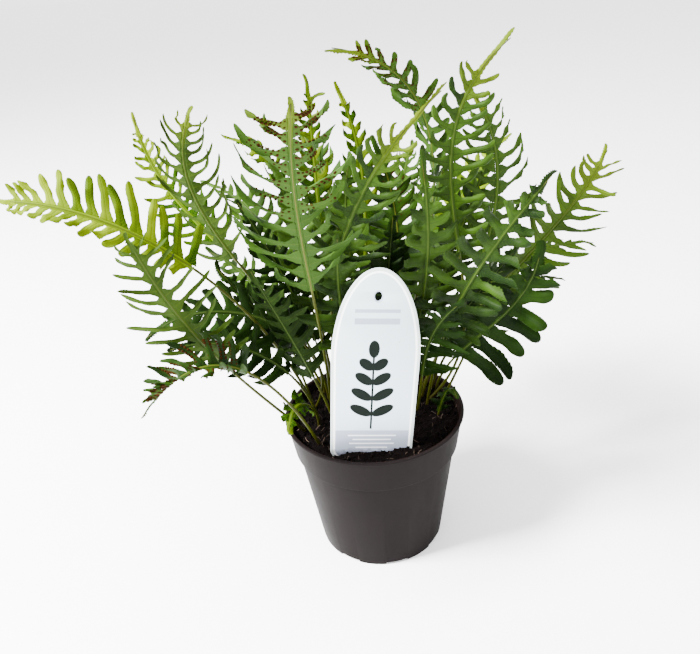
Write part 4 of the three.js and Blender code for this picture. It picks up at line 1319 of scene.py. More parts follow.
def scattered(board, surface, shapes, density, sizes, seed, sink):
    """Shapes from a shelf, scattered over the marked top, turned every way."""
    inputs = {
        "Mesh": surface,
        "Selection": named(board, "is_top").above(0.5),
        "Density": density,
        "Seed": seed,
    }
    random = {"distribute_method": "RANDOM"}
    points = board.wire("GeometryNodeDistributePointsOnFaces", random, inputs)
    offset = combined(board, z=-sink)
    points = board.wire("GeometryNodeSetPosition", {}, {"Geometry": points, "Offset": offset})
    turn = random_value(board, "FLOAT_VECTOR", (0, 0, 0), (FULL_TURN, FULL_TURN, FULL_TURN), seed)
    more = {
        "Pick_Instance": True,
        "Instance_Index": random_value(board, "INT", 0, MOST_SHAPES, seed),
        "Rotation": board.wire("FunctionNodeEulerToRotation", {}, {0: turn}),
        "Scale": random_value(board, "FLOAT", 0.0, 1.0, seed + 1) ** 2 * (sizes[1] - sizes[0]) + sizes[0],
    }
    return realized(board, instances(board, points, shapes_on(board, shapes), **more))


def peat_tree():
    tree, board, given = tree_with(
        "peat",
        Lumps=("Collection", None),
        Grains=("Collection", None),
        Threads=("Collection", None),
        Peat=("Material", None),
        Root_threads=("Material", None),
        Lump_density=("Float", 82000.0),
        Grain_density=("Float", 290000.0),
        Thread_density=("Float", 22000.0),
        Clod_height=("Float", 1.6 * MM),
    )
    clods = board.noise(board.wire("GeometryNodeInputPosition"), CLOD_SCALE, detail=4, roughness=0.6)
    lift = combined(board, z=(clods - 0.5) * given["Clod height"] * 2 * named(board, "is_top"))
    raised = {"Geometry": given["Geometry"], "Offset": lift}
    ground = board.wire("GeometryNodeSetPosition", {}, raised)
    heap = joined(
        board,
        ground,
        scattered(board, ground, given["Lumps"], given["Lump density"], **LUMP_RULES),
        scattered(board, ground, given["Grains"], given["Grain density"], **GRAIN_RULES),
    )
    roots = scattered(board, ground, given["Threads"], given["Thread density"], **THREAD_RULES)
    layers = (heap, given["Peat"]), (roots, given["Root threads"])
    whole = joined(board, *(painted(board, layer, material) for layer, material in layers))
    board.node("NodeGroupOutput", {}, {0: whole})
    return tree


# %% [markdown]
# Wet peat is nearly black, with brown and reddish crumbs that have dried a little. It is matt, so
# almost all that it shows is the shade between its crumbs.

# %% Peat finish
PEAT_BLACK = swatch(6, 4, 4)
PEAT_BROWN = swatch(17, 11, 10)
PEAT_RED = swatch(46, 30, 25)
THREAD_DARK = swatch(40, 28, 20)
THREAD_LIGHT = swatch(84, 68, 54)
PATCH_SCALE = 260
PATCH_FROM = 0.3
PATCH_STRENGTH = 1.3
GRIT_SCALE = 1500
GRIT_FROM = 0.62
GRIT_STRENGTH = 3
FIBRE_SCALE = 180


def peat_finish():
    peat = Finish("moist_peat", IOR=1.4, Specular_IOR_Level=0.04)
    clods = peat.noise(peat.place, PATCH_SCALE, detail=5, roughness=0.65)
    grit = peat.noise(peat.place, GRIT_SCALE, detail=3)
    colour = peat.mixed((clods - PATCH_FROM).clamped() * PATCH_STRENGTH, PEAT_BLACK, PEAT_BROWN)
    colour = peat.mixed((grit - GRIT_FROM).clamped() * GRIT_STRENGTH, colour, PEAT_RED)
    peat.paint(colour, (grit * 0.5 + 0.5).clamped())
    peat.bump(grit + clods, distance=0.5 * MM)
    return peat.material


def thread_finish():
    fibre = Finish("root_threads", Roughness=0.7)
    tone = fibre.noise(fibre.place, FIBRE_SCALE, detail=2)
    fibre.paint(fibre.mixed(tone, THREAD_DARK, THREAD_LIGHT))
    return fibre.material


inputs = {
    "Lumps": lumps,
    "Grains": grains,
    "Threads": threads,
    "Peat": peat_finish(),
    "Root threads": thread_finish(),
}
peat = grown("peat_bed", plug, peat_tree(), inputs)
for collection in (lumps, grains, threads):
    cleared(collection)
peat.data.attributes.remove(peat.data.attributes["is_top"])
keep(peat, "soil")
print("peat bed:", sum(len(face.vertices) - 2 for face in peat.data.polygons), "triangles")

# %% [markdown]
# ## The label
# A plant label is stamped from printed plastic sheet: a long oval top, straight sides that narrow
# a little, round lower corners, a stake for the soil and an oval hole to hang it by. Its outline
# is a flat curve with a hole in it, given its thickness and a fine rounded edge by the curve's own
# extrude and bevel, made a mesh, and only then stood up in its place.

# %% Label sheet
LABEL_HALF = 26
LABEL_FOOT_HALF = 25.5
LABEL_THICKNESS = 1.2
LABEL_BOTTOM = 88
LABEL_TOP = 218.5
ARCH_HEIGHT = 58
LABEL_CORNER = 8
STAKE_HALF = 7
STAKE_DEPTH = 22
HOLE_HALVES = (2.1, 3)
HOLE_HEIGHT = LABEL_TOP - 17
LABEL_PLACE = (-5.5, -39)
LABEL_LEAN = math.radians(5.7)
LABEL_EDGE = 0.2
ARC_STEPS = 28
SPRING = LABEL_TOP - ARCH_HEIGHT
SAME_PLACE = 0.001


def arc(centre, halves, start, end, steps=ARC_STEPS):
    """Points on an ellipse, from one angle in degrees to another."""
    angles = np.radians(np.linspace(start, end, steps + 1))
    (x, y), (half_width, half_height) = centre, halves
    return [(x + half_width * math.cos(a), y + half_height * math.sin(a)) for a in angles]


def label_outline():
    corner = (LABEL_CORNER, LABEL_CORNER)
    middle = LABEL_FOOT_HALF - LABEL_CORNER
    tip = LABEL_BOTTOM - STAKE_DEPTH
    return [
        (STAKE_HALF, tip),
        (STAKE_HALF, LABEL_BOTTOM),
        *arc((middle, LABEL_BOTTOM + LABEL_CORNER), corner, -90, 0),
        *arc((0, SPRING), (LABEL_HALF, ARCH_HEIGHT), 0, 180, 2 * ARC_STEPS),
        *arc((-middle, LABEL_BOTTOM + LABEL_CORNER), corner, 180, 270),
        (-STAKE_HALF, LABEL_BOTTOM),
        (-STAKE_HALF, tip),
    ]


def stood(x, height, depth):
    """Where a place on the sheet stands: leaning to the right, printed face to the front."""
    sine, cosine = math.sin(LABEL_LEAN), math.cos(LABEL_LEAN)
    return (
        x * cosine + height * sine + LABEL_PLACE[0] - LABEL_BOTTOM * sine,
        LABEL_PLACE[1] - depth,
        height * cosine - x * sine,
    )


def label_sheet():
    curve = bpy.data.curves.new("label_outline", "CURVE")
    curve.dimensions = "2D"
    curve.fill_mode = "BOTH"
    curve.extrude = LABEL_THICKNESS / 2 - LABEL_EDGE
    curve.bevel_depth = LABEL_EDGE
    curve.bevel_resolution = 2
    curve.offset = -LABEL_EDGE
    hole = arc((0, HOLE_HEIGHT), HOLE_HALVES, 0, 360)[:-1]
    for line in (label_outline(), hole):
        spline = curve.splines.new("POLY")
        spline.points.add(len(line) - 1)
        spline.points.foreach_set("co", [value for x, y in line for value in (x, y, 0, 1)])
        spline.use_cyclic_u = True
    flat = linked("label_outline", curve)
    mesh = result_of(flat)
    bpy.data.objects.remove(flat)
    body = bmesh.new()
    body.from_mesh(mesh)
    bmesh.ops.remove_doubles(body, verts=body.verts, dist=SAME_PLACE)
    bmesh.ops.recalc_face_normals(body, faces=body.faces)
    body.to_mesh(mesh)
    body.free()
    flat_places = [tuple(corner.co) for corner in mesh.vertices]
    add_values(mesh, "label_mm", "FLOAT_VECTOR", flat_places)
    for corner, place in zip(mesh.vertices, flat_places):
        corner.co = Vector(stood(*place)) * MM
    return linked("plant_label", mesh)


label = label_sheet()
smoothed(label)
print("label:", len(label.data.polygons), "faces, standing at", LABEL_PLACE)

# %% [markdown]
# The print is made of plain shapes, each one a short sum on the place on the sheet: a white line
# that follows the edge, an upright sprig of plain oval leaves in dark green, two lavender-grey
# bars across the top and a ruled grey panel at the foot. How far a point is from the edge is
# known from the shapes that the outline is made of: an ellipse above, and a box with round
# corners below.

# %% Shapes of the print
SPRIG_FOOT = (-1.0, 116.0)
SPRIG_HEIGHT = 52
STEM_HALF = 0.7
STEM_BELOW = 4
LEAF_PAIRS = ((6, 62, 15), (17, 58, 15), (28, 54, 13), (38, 48, 11))
TOP_LEAF = (46, 0, 12)
LEAF_HALF = 3.4
LINE_SHARPNESS = 8
BAR_SHARPNESS = 6
LEAF_SHARPNESS = 14


def edge_distance(x, height):
    """How far a point of the print is from the sheet's edge, in millimetres."""
    side = abs(x)
    over = height - SPRING
    round_size = ((x / LABEL_HALF) ** 2 + (over / ARCH_HEIGHT) ** 2) ** 0.5
    slope = ((x / LABEL_HALF**2) ** 2 + (over / ARCH_HEIGHT**2) ** 2) ** 0.5 / round_size
    arch = (1 - round_size) / slope
    rise = ((height - LABEL_BOTTOM - LABEL_CORNER) / (SPRING - LABEL_BOTTOM - LABEL_CORNER)).clamped()
    half = rise * (LABEL_HALF - LABEL_FOOT_HALF) + LABEL_FOOT_HALF
    past_side = (side - half + LABEL_CORNER).at_least(0)
    past_foot = (LABEL_BOTTOM + LABEL_CORNER - height).at_least(0)
    box = LABEL_CORNER - (past_side * past_side + past_foot * past_foot) ** 0.5
    is_arch = over.above(0)
    return arch * is_arch + box * (1 - is_arch)


def bar_at(x, height, middle, half_height, half_width):
    """A level bar, from 0 off it to 1 on it."""
    level = ((half_height - abs(height - middle)) * BAR_SHARPNESS).clamped()
    return level * ((half_width - abs(x)) * BAR_SHARPNESS).clamped()


def oval_leaves(x, height):
    """The sprig, from 0 off it to 1 on it: a stem with pairs of plain oval leaves."""
    up = height - SPRIG_FOOT[1]
    stem = ((STEM_HALF - abs(x - SPRIG_FOOT[0])) * LINE_SHARPNESS).clamped()
    cover = stem * (up + STEM_BELOW).above(0) * (SPRIG_HEIGHT - up).above(0)
    leaves = [(rise, side * angle, length) for rise, angle, length in LEAF_PAIRS for side in (1, -1)]
    for rise, angle, length in (*leaves, TOP_LEAF):
        sine, cosine = math.sin(math.radians(angle)), math.cos(math.radians(angle))
        out, over = x - SPRIG_FOOT[0], up - rise
        along = (out * sine + over * cosine) / (length / 2) - 1
        off = (out * cosine - over * sine) / LEAF_HALF
        leaf = (1 - (along * along + off * off) ** 0.5) * LEAF_SHARPNESS
        cover = cover.at_least(leaf.clamped())
    return cover


# %% Label finish
LABEL_WHITE = swatch(252, 253, 254)
LABEL_MARGIN = swatch(190, 200, 200)
LABEL_FIELD_TOP = swatch(184, 199, 204)
LABEL_FIELD_LOW = swatch(196, 208, 222)
LABEL_LAVENDER = swatch(128, 132, 152)
LABEL_GREEN = swatch(7, 14, 11)
LABEL_GREEN_SOFT = swatch(12, 22, 16)
LINE_FROM, LINE_TO = 1.6, 2.9
BARS = ((186, 2.0), (192.5, 1.2))
BAR_HALF = 13
PANEL_TOP = 111
PANEL_SHARPNESS = 4
PANEL_SHARE = 0.7
RULES = ((107, 15), (104, 12), (101, 14), (98, 10))
RULE_HALF = 0.55
INK_SHARE = 0.8
STREAK_SCALE = 320
RING_SIZE = 1.3
RING_SHARE = 0.6
SOIL_MARK_HEIGHT = 4
SOIL_MARK_SHARE = 0.7
SHEET_WAVES = 60


def label_finish():
    sheet = Finish("printed_label", IOR=1.5, Specular_IOR_Level=0.05)
    x, height, _ = sheet.attribute("label_mm", "Vector").parts()
    edge = edge_distance(x, height)
    line = ((edge - LINE_FROM) * LINE_SHARPNESS).clamped() * ((LINE_TO - edge) * LINE_SHARPNESS).clamped()
    field = (edge - LINE_TO).above(0)
    fade = ((height - LABEL_BOTTOM) / (LABEL_TOP - LABEL_BOTTOM)).clamped()
    inner = sheet.mixed(fade, LABEL_FIELD_LOW, LABEL_FIELD_TOP)
    colour = sheet.mixed(field, LABEL_MARGIN, inner)
    for middle, half in BARS:
        bar = bar_at(x, height, middle, half, BAR_HALF)
        colour = sheet.mixed(bar * INK_SHARE, colour, LABEL_LAVENDER)
    streak = sheet.noise(sheet.place, STREAK_SCALE, detail=4)
    ink = sheet.mixed(streak, LABEL_GREEN, LABEL_GREEN_SOFT)
    panel = ((PANEL_TOP - height) * PANEL_SHARPNESS).clamped() * field
    colour = sheet.mixed(panel * PANEL_SHARE, colour, LABEL_LAVENDER)
    for middle, half in RULES:
        rule = bar_at(x, height, middle, RULE_HALF, half)
        colour = sheet.mixed(rule * INK_SHARE, colour, LABEL_WHITE)
    colour = sheet.mixed(oval_leaves(x, height) * field, colour, ink)
    colour = sheet.mixed(line, colour, LABEL_WHITE)
    out = ((x / HOLE_HALVES[0]) ** 2 + ((height - HOLE_HEIGHT) / HOLE_HALVES[1]) ** 2) ** 0.5
    colour = sheet.mixed(out.below(RING_SIZE) * RING_SHARE, colour, LABEL_LAVENDER)
    soil_mark = ((SOIL_LEVEL + SOIL_MARK_HEIGHT - height) * 0.25 + (streak - 0.5) * 2).clamped()
    colour = sheet.mixed(soil_mark * SOIL_MARK_SHARE, colour, PEAT_DUST)
    sheet.paint(colour, streak * 0.12 + 0.24)
    sheet.bump(sheet.noise(sheet.place, SHEET_WAVES, detail=2), distance=0.2 * MM, strength=0.4)
    return sheet.material


label.data.materials.append(label_finish())
keep(label, "label")
print("label finish:", len(label.data.materials[0].node_tree.nodes), "nodes")

# %% [markdown]
# ## Finishes of the fronds
# A polypody blade is leathery: satin above, paler and matt beneath, with a midrib in every lobe
# that is dark above and pale beneath, and veins that slant towards the margin. Young blades are
# yellow-green and old ones deep green. One recipe makes all of them from a few swatches, and
# reads the place on the lobe, in millimetres, that the tree stored, so the veins follow each lobe
# round its bend. The lobes deep in the crown get painted shade: the recipe darkens their green
# towards a deep green.

# %% Leaf finish
PAINTED_SHADE_GREEN = swatch(5, 11, 2)
PALE_RIB = swatch(60, 74, 22)
DARK_RIB = swatch(8, 14, 5)
YOUNG_TIP = swatch(80, 94, 8)
VEIN_SPACING = 1.5
VEIN_SLANT = 0.9
VEIN_SHARPNESS = 5
VEIN_SHARE = 0.2
MIDRIB_HALF = 0.24
PALE_RIB_SHARE = 0.4
DARK_RIB_SHARE = 0.45
CLOUD_SCALE = 55
CLOUD_STRENGTH = 1.6
SPECK_SCALE = 900
SPECK_FROM = 0.35
SPECK_SHARE = 0.4
UNDERSIDE_UNTIL = 0.02
UNDER_SHARE = 0.6
YOUTH_SHARE = 0.7
PAINTED_SHADE_SHARE = 0.66
LEAF_ROUGHNESS = 0.42
SPECK_ROUGHER = 0.2
UNDER_ROUGHER = 0.12
VEIN_RELIEF = 0.5
RIB_RELIEF = 0.4
SPECK_RELIEF = 0.3


@dataclass
class Tone:
    """Colours of one kind of frond: its face, lighter lobes, beneath, and the stalk in the blade."""

    upper: tuple
    fresh: tuple
    under: tuple
    rachis: tuple
    shine: float


def leaf_finish(name, tone):
    leaf = Finish(name, IOR=1.42, Specular_IOR_Level=tone.shine)
    along, across, height = leaf.attribute("leaf_mm", "Vector").parts()
    shade = leaf.attribute("leaf_shade")
    youth = leaf.attribute("leaf_youth").clamped()
    # How much painted shade this lobe gets, from how deep it sits in the crown.
    depth = leaf.attribute("leaf_depth").clamped()
    cloud = leaf.noise(leaf.place, CLOUD_SCALE, detail=3)
    speck = leaf.noise(leaf.place, SPECK_SCALE, detail=2)
    slanted = (along - abs(across) * VEIN_SLANT) * (2 * math.pi / VEIN_SPACING)
    vein = ((slanted.sine() + 1) * 0.5) ** VEIN_SHARPNESS
    midrib = (1 - abs(across) / MIDRIB_HALF).clamped()
    blend = (shade * 0.5 + 0.5 + (cloud - 0.5) * CLOUD_STRENGTH).clamped()
    colour = leaf.mixed(blend, tone.upper, tone.fresh)
    colour = leaf.mixed((speck - SPECK_FROM).clamped() * SPECK_SHARE, colour, tone.under)
    colour = leaf.mixed(vein * VEIN_SHARE, colour, tone.fresh)
    is_below = (UNDERSIDE_UNTIL - height).above(0)
    colour = leaf.mixed(is_below * UNDER_SHARE, colour, tone.under)
    colour = leaf.mixed(youth * YOUTH_SHARE, colour, YOUNG_TIP)
    colour = leaf.mixed(midrib * is_below * PALE_RIB_SHARE, colour, PALE_RIB)
    colour = leaf.mixed(midrib * (1 - is_below) * DARK_RIB_SHARE, colour, DARK_RIB)
    # Painted shade: lobes deep in the crown are darkened towards a deep green.
    colour = leaf.mixed(depth * PAINTED_SHADE_SHARE, colour, PAINTED_SHADE_GREEN)
    rough = speck * SPECK_ROUGHER + is_below * UNDER_ROUGHER + LEAF_ROUGHNESS
    leaf.paint(colour, rough.clamped())
    relief = vein * VEIN_RELIEF - midrib * RIB_RELIEF + speck * SPECK_RELIEF
    leaf.bump(relief, distance=0.12 * MM, strength=0.8)
    return leaf.material


# %% Stalk and spore finishes
STALK_GREEN = swatch(37, 45, 10)
STALK_STRAW = swatch(58, 57, 20)
STALK_BROWN = swatch(34, 22, 11)
STALK_SHINE = 0.065
STALK_GRAIN = 420
STRAW_FROM = 0.2
BROWN_REACH = 22
BROWN_SHARE = 0.7
RACHIS_SHARE = 0.85
SPORE_RUST = swatch(31, 19, 8)
SPORE_PALE = swatch(52, 34, 14)
SPORE_DARK = swatch(20, 10, 6)
SPORE_GRAIN = 2600
SPORE_PATCHES = 300
SPORE_DARK_FROM = 0.45


def stalk_finish(name, rachis):
    """A wiry stalk, straw green, brown out of the peat and of the leaf's colour in the blade."""
    stalk = Finish(name, IOR=1.45, Specular_IOR_Level=STALK_SHINE)
    _, _, height = stalk.place.parts()
    near_soil = (1 - (height / MM - SOIL_LEVEL) / BROWN_REACH).clamped() ** 2
    grain = stalk.noise(stalk.place, STALK_GRAIN, detail=3)
    colour = stalk.mixed((grain - STRAW_FROM).clamped(), STALK_GREEN, STALK_STRAW)
    colour = stalk.mixed(stalk.attribute("leaf_blade").clamped() * RACHIS_SHARE, colour, rachis)
    stalk.paint(stalk.mixed(near_soil * BROWN_SHARE, colour, STALK_BROWN), grain * 0.25 + 0.3)
    stalk.bump(grain, distance=0.1 * MM, strength=0.5)
    return stalk.material


def spore_finish(name):
    """Ripe spore heaps: a matt rust brown crust of tiny cases."""
    spores = Finish(name, IOR=1.4, Specular_IOR_Level=0.04)
    grain = spores.noise(spores.place, SPORE_GRAIN, detail=2)
    tone = spores.noise(spores.place, SPORE_PATCHES, detail=1)
    rust = spores.mixed(tone, SPORE_RUST, SPORE_PALE)
    colour = spores.mixed((grain - SPORE_DARK_FROM).clamped(), rust, SPORE_DARK)
    spores.paint(colour, grain * 0.1 + 0.8)
    spores.bump(grain, distance=0.15 * MM)
    return spores.material


# %% Five tones of green
TONES = {
    "young": Tone(swatch(23, 50, 5), swatch(106, 124, 6), swatch(66, 92, 10), swatch(62, 74, 12), 0.02),
    "olive": Tone(swatch(15, 28, 5), swatch(50, 69, 15), swatch(40, 55, 18), swatch(48, 57, 18), 0.05),
    "mid": Tone(swatch(13, 26, 6), swatch(48, 70, 19), swatch(42, 60, 22), swatch(50, 66, 22), 0.06),
    "dark": Tone(swatch(9, 19, 5), swatch(29, 46, 14), swatch(33, 47, 19), swatch(38, 51, 19), 0.03),
    "fertile": Tone(swatch(15, 31, 6), swatch(47, 72, 19), swatch(42, 63, 20), swatch(68, 72, 25), 0.065),
}
leaf_finishes = {name: leaf_finish(f"{name}_blade", tone) for name, tone in TONES.items()}
stalk_finishes = {name: stalk_finish(f"{name}_stalk", tone.rachis) for name, tone in TONES.items()}
spore_material = spore_finish("spore_heaps")
for name, finish in leaf_finishes.items():
    print(finish.name, "is for", sum(row.tone == name for row in FRONDS.values()), "fronds")

# %% [markdown]
# ## Growing the fronds
# Each frond becomes one object. Its points carry everything that the tree needs, and some values
# for the finish to read. First come the sizes of its midrib, which is a stalk with no leaf on it
# up to the first lobe, and a rachis between two narrow wings of leaf from there.

# %% Sizes of the midrib
STALK_RADII = (1.1, 0.8)
RACHIS_RADII = (0.62, 0.28)
RACHIS_TAPER = 1.1
RIB_STEP = 3.0
RIB_REACH = 0.985


def rib_values(rib):
    """Distances along a midrib, with its radius as a stalk and its half width as a wing."""
    distances = np.linspace(0, rib.length * RIB_REACH, int(rib.length / RIB_STEP))
    radii, wings = [], []
    for distance in distances:
        if distance < rib.start:
            radii.append(mix(*STALK_RADII, distance / rib.start))
            wings.append(0)
            continue
        share = (distance - rib.start) / (rib.length - rib.start)
        radii.append(mix(*RACHIS_RADII, min(1, share * RACHIS_TAPER)))
        wings.append(rib.half_sizes(distance)[0] if distance < rib.end else 0)
    return distances, radii, wings


# %% [markdown]
# Light reaches the outer lobes and the inner ones are in the dark. That shade is painted: the
# finish darkens the inner lobes towards a deeper green. How deep a lobe sits is counted: it is the
# number of lobes that are near it and further from the middle of the crown than it is.

# %% How deep each lobe sits, which sets its painted shade
CROWN_FOOT = 120
CROWD_REACH = 60
CROWD_CLEAR = 6
CROWD_FULL = 80
# A few fronds get this much more painted shade than their count gives.
SHADED = {
    "low_fertile": 0.2, "small_left": 0.6, "small_right": 0.4, "back_small_a": 0.4, "back_small_b": 0.4,
}


def middles_of(group):
    return [lobe.root + lobe.first / 4 + lobe.last / 8 for lobe in group]


crowd = np.array([middle for group in lobes.values() for middle in middles_of(group)])


def depths_of(name, group):
    """Painted shade of each lobe: how deep it sits, 0 to 1. Fronds in SHADED count as that much deeper."""
    depths = []
    for middle in middles_of(group):
        outward = unit(np.array([middle[0], middle[1], abs(middle[2] - CROWN_FOOT)]))
        reach = crowd - middle
        near = np.linalg.norm(reach, axis=1) < CROWD_REACH
        depths.append((near & (reach @ outward > CROWD_CLEAR)).sum() / CROWD_FULL)
    return np.clip(np.array(depths) + SHADED.get(name, 0), 0, 1)


print("depth of the centre frond's lobes:", *depths_of("centre_dark", lobes["centre_dark"]).round(2))

# %% [markdown]
# No two lobes are quite alike. Each one gets a shade and a twist of its own, a curl off its face
# and a bow to its side. The twist is in radians, and the other two are how many millimetres the
# lobe's end moves. The pale end of a growing frond starts at a share of its blade. A frond with a
# higher value in the table below is lighter as a whole, one with a lower value darker: for most
# that is their own fresher or older green, and for three it is painted light. Young fronds get
# lighter from foot to tip. A few fronds are less wild than the others.

# %% What differs from frond to frond
YOUNG_TIPS = {
    "centre_bright": 0.72, "left_dark": 0.8, "tall_right": 0.75, "right_far": 0.58, "left_young": 0.6,
    "left_long": 0.1, "right_upright": 0.9, "front": 0.82, "top_arch": 0.8,
}
# Lighter above 0, darker below it. For left_long the lighter green is painted light shining through its
# blade; for right_inner and low_fertile the darker green is painted shade. For the others it is their own
# green.
FRESHNESS_AND_PAINTED_LIGHT = {
    "left_long": 0.5, "back_left": -1.4, "back_d": -0.5, "back_small_a": -0.8, "back_small_b": -0.8,
    "small_left": -0.9, "right_inner": -0.5, "top_arch": -0.2, "small_right": -1.0, "right_far": 0.8,
    "low_fertile": -0.4,
}
FROND_SPREAD = 0.4
LOBE_SPREAD = 0.5
AGE_SLOPE = 0.9
RIB_LIGHTER = 0.5
WILDNESS = {"twist": 0.5, "curl": 1.8, "bow": 1.5}
MOST_TWIST = 0.9
MOST_SWAY = 3
FULL_SWAY_LENGTH = 20
WILD_SHARES = {"left_long": 0.3, "left_young": 0.5}
PHASES = 6.3
BLADE_END = 1.001


def youth_at(name, shares):
    """How young a frond is at shares of its blade: 0 up to where its tip begins, 1 at its end."""
    young_from = YOUNG_TIPS.get(name, 1)
    return np.clip((np.array(shares) - young_from) / (BLADE_END - young_from), 0, 1)


def lengths_of(group):
    return np.array([np.linalg.norm(lobe.first + lobe.last) / 2 for lobe in group])


print("longest lobe of the front frond:", round(lengths_of(lobes["front"]).max(), 1), "mm")

# %% [markdown]
# All these draws are made by one generator with a fixed seed, frond by frond, so that every run
# grows the same plant.

# %% Frond points
LOBE_VECTORS = {
    "lobe_root": "root", "lobe_first": "first", "lobe_last": "last", "root_low": "root_low",
    "root_high": "root_high",
}
dice = np.random.default_rng(7)


class FrondPoints:
    """The bare points of a frond: the midrib's, joined in order, and then one for each lobe."""

    def __init__(self, name, rib_places, lobe_places):
        edges = [(index, index + 1) for index in range(len(rib_places) - 1)]
        self.thing = object_from(f"points_{name}", [*rib_places, *lobe_places], [], edges)
        self.counts = len(rib_places), len(lobe_places)

    def give(self, name, on_rib=0, on_lobes=0, scale=1, kind="FLOAT"):
        """A named value, which is one number for all points of a side or one for each of them."""
        parts = (3,) if kind == "FLOAT_VECTOR" else ()
        sides = zip((on_rib, on_lobes), self.counts)
        values = [np.broadcast_to(side, (count, *parts)) for side, count in sides]
        add_values(self.thing.data, name, kind, np.concatenate(values) * scale)

    def give_vector(self, name, **more):
        self.give(name, kind="FLOAT_VECTOR", **more)


def give_lobe_shapes(points, name, group):
    """Where each lobe goes, how big it is, and how it twists, curls and bows."""
    for value, part in LOBE_VECTORS.items():
        points.give_vector(value, on_lobes=[getattr(lobe, part) for lobe in group], scale=MM)
    for place, part in enumerate(("broad_root", "broad_middle", "broad_tip")):
        points.give_vector(part, on_lobes=[lobe.broad[place] for lobe in group])
    points.give("lobe_length", on_lobes=lengths_of(group), scale=MM)
    points.give("lobe_half", on_lobes=[lobe.half for lobe in group], scale=MM)
    points.give("lobe_shape", on_lobes=[lobe.shape for lobe in group])
    points.give("lobe_sori", on_lobes=[lobe.sori for lobe in group])
    points.give("lobe_phase", on_lobes=dice.uniform(0, PHASES, len(group)))
    wild = WILD_SHARES.get(name, 1)
    twists = dice.normal(0, WILDNESS["twist"], len(group)) * wild
    points.give("lobe_twist", on_lobes=np.clip(twists, -MOST_TWIST, MOST_TWIST))
    for part in ("curl", "bow"):
        values = np.clip(dice.normal(0, WILDNESS[part], len(group)), -MOST_SWAY, MOST_SWAY)
        values = values * np.minimum(1, lengths_of(group) / FULL_SWAY_LENGTH) * wild
        points.give(f"lobe_{part}", on_lobes=values, scale=MM)


def give_looks(points, name, group, blade_shares, wings):
    """How young, how deep in the crown, for painted shade, and how light each point of a frond is."""
    youth = youth_at(name, blade_shares), youth_at(name, [lobe.place for lobe in group])
    points.give("leaf_youth", on_rib=youth[0], on_lobes=youth[1])
    depths = depths_of(name, group)
    points.give("leaf_depth", on_rib=depths.mean(), on_lobes=depths)
    points.give("leaf_blade", on_rib=np.array(wings) > 0)
    frond_tone = dice.uniform(-FROND_SPREAD, FROND_SPREAD) + FRESHNESS_AND_PAINTED_LIGHT.get(name, 0)
    slope = AGE_SLOPE if FRONDS[name].tone == "young" else 0
    slopes = np.array([slope * (2 * lobe.place - 1) for lobe in group])
    shades = frond_tone + slopes + dice.normal(0, LOBE_SPREAD, len(group))
    points.give("leaf_shade", on_rib=frond_tone + RIB_LIGHTER, on_lobes=np.clip(shades, -1, 1))


def frond_points(name, rib, group):
    distances, radii, wings = rib_values(rib)
    rib_places = [rib.point(distance) for distance in distances]
    points = FrondPoints(name, rib_places, [lobe.root for lobe in group])
    points.give("is_rib", on_rib=1)
    points.give("is_lobe", on_lobes=1)
    points.give("rib_radius", on_rib=radii, scale=MM)
    points.give("rib_wing", on_rib=wings, scale=MM)
    points.give_vector("rib_upper", on_rib=[rib.frame(distance)[3] for distance in distances])
    give_lobe_shapes(points, name, group)
    give_looks(points, name, group, (distances - rib.start) / (rib.end - rib.start), wings)
    return points.thing


# %% [markdown]
# Once the tree has run, the values that only it needed are taken off the mesh. Those whose names
# start with leaf stay, because the finishes read them.

# %% Growing
SORUS_SIZE = 0.52
SORUS_SIZES = {"low_fertile": 0.78, "front": 0.66}
WORKING_NAMES = ("lobe_", "rib_", "broad_", "root_", "is_")


def grow_frond(name, row):
    inputs = {
        "Lobe shapes": lobe_shapes,
        "Sorus places": sorus_points,
        "Sorus": dome,
        "Blade": leaf_finishes[row.tone],
        "Stalk": stalk_finishes[row.tone],
        "Spores": spore_material,
        "Sorus size": SORUS_SIZES.get(name, SORUS_SIZE),
    }
    frond = grown(f"fern_{name}", frond_points(name, ribs[name], lobes[name]), growth, inputs)
    for attribute in [item.name for item in frond.data.attributes]:
        if attribute.startswith(WORKING_NAMES):
            frond.data.attributes.remove(frond.data.attributes[attribute])
    frond.data.polygons.foreach_set("use_smooth", [True] * len(frond.data.polygons))
    return keep(frond, f"frond_{name}")


fronds = [grow_frond(name, row) for name, row in FRONDS.items()]
cleared(lobe_shapes)
for template in (sorus_points, dome):
    bpy.data.objects.remove(template)
triangles = sum(len(face.vertices) - 2 for frond in fronds for face in frond.data.polygons)
print(len(fronds), "fronds grown,", triangles, "triangles")

# %% [markdown]
# ## Floor, light and camera
# The plant stands on a plain pale floor that runs out to the horizon, under a bright even sky and
# two soft lamps. The camera was found from the ellipses of the pot's rim, step and foot: a
# normal lens, whose focal length is 690 pixels of a picture 700 pixels wide, looking down by 27
# degrees and held a little crooked.

# %% Floor and light
FLOOR_RADIUS = 30000
FLOOR_SIDES = 64
FLOOR_WHITE = (0.97, 0.97, 0.97, 1)
SKY_WHITE = (1, 1, 1, 1)
SKY_STRENGTH = 3.0
PLANT_MIDDLE = (0, 0, 0.15)


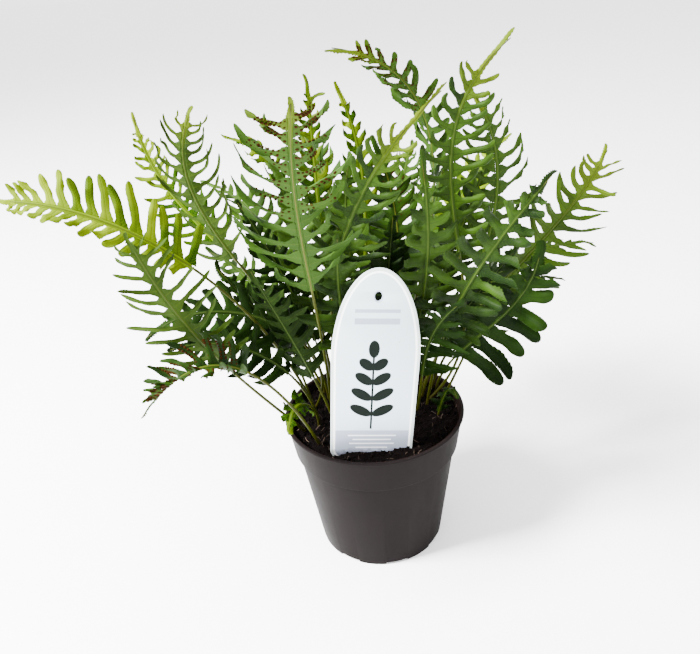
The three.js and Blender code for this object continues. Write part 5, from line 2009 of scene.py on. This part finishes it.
def floor_disc():
    angles = np.linspace(0, 2 * math.pi, FLOOR_SIDES, endpoint=False)
    rim = [(FLOOR_RADIUS * math.cos(angle), FLOOR_RADIUS * math.sin(angle), 0) for angle in angles]
    floor = object_from("floor", rim, [tuple(range(FLOOR_SIDES))])
    pale = Finish("pale_floor", Roughness=0.7)
    pale.shader.inputs["Base Color"].default_value = FLOOR_WHITE
    floor.data.materials.append(pale.material)


def soft_lamp(name, place, size, power):
    """A square lamp in metres and watts, aimed at the plant."""
    lamp = linked(name, bpy.data.lights.new(name, "AREA"))
    lamp.data.size = size
    lamp.data.energy = power
    lamp.location = place
    aim = Vector(PLANT_MIDDLE) - Vector(place)
    lamp.rotation_euler = aim.to_track_quat("-Z", "Y").to_euler()


floor_disc()
sky = bpy.data.worlds.new("bright_sky")
sky.use_nodes = True
sky_light = sky.node_tree.nodes["Background"].inputs
sky_light["Color"].default_value = SKY_WHITE
sky_light["Strength"].default_value = SKY_STRENGTH
bpy.context.scene.world = sky
soft_lamp("window", (-1.2, -0.35, 1.4), size=0.5, power=320)
soft_lamp("fill", (1.1, -0.6, 0.9), size=1.2, power=8)
print("lamps:", [lamp.name for lamp in bpy.data.lights])

# %% Camera
FRAME_WIDTH = 700
FOCAL_PIXELS = 690
SENSOR = 36
CAMERA_AIM = Vector((-11.5, 0, 162.5)) * MM
CAMERA_DISTANCE = 436 * MM
CAMERA_ELEVATION = math.radians(27.4)
CAMERA_ROLL = math.radians(-4.8)
CLIP_END = 100


def photo_camera():
    back = Vector((0, -math.cos(CAMERA_ELEVATION), math.sin(CAMERA_ELEVATION)))
    level = Vector((1, 0, 0))
    upright = back.cross(level)
    right = level * math.cos(CAMERA_ROLL) + upright * math.sin(CAMERA_ROLL)
    camera = linked("camera", bpy.data.cameras.new("camera"))
    camera.data.sensor_width = SENSOR
    camera.data.lens = SENSOR * FOCAL_PIXELS / FRAME_WIDTH
    camera.data.clip_end = CLIP_END
    turn = Matrix((right, back.cross(right), back)).transposed()
    camera.matrix_world = Matrix.LocRotScale(CAMERA_AIM + back * CAMERA_DISTANCE, turn, None)
    bpy.context.scene.camera = camera
    print("camera at", [round(x, 4) for x in camera.location])


photo_camera()
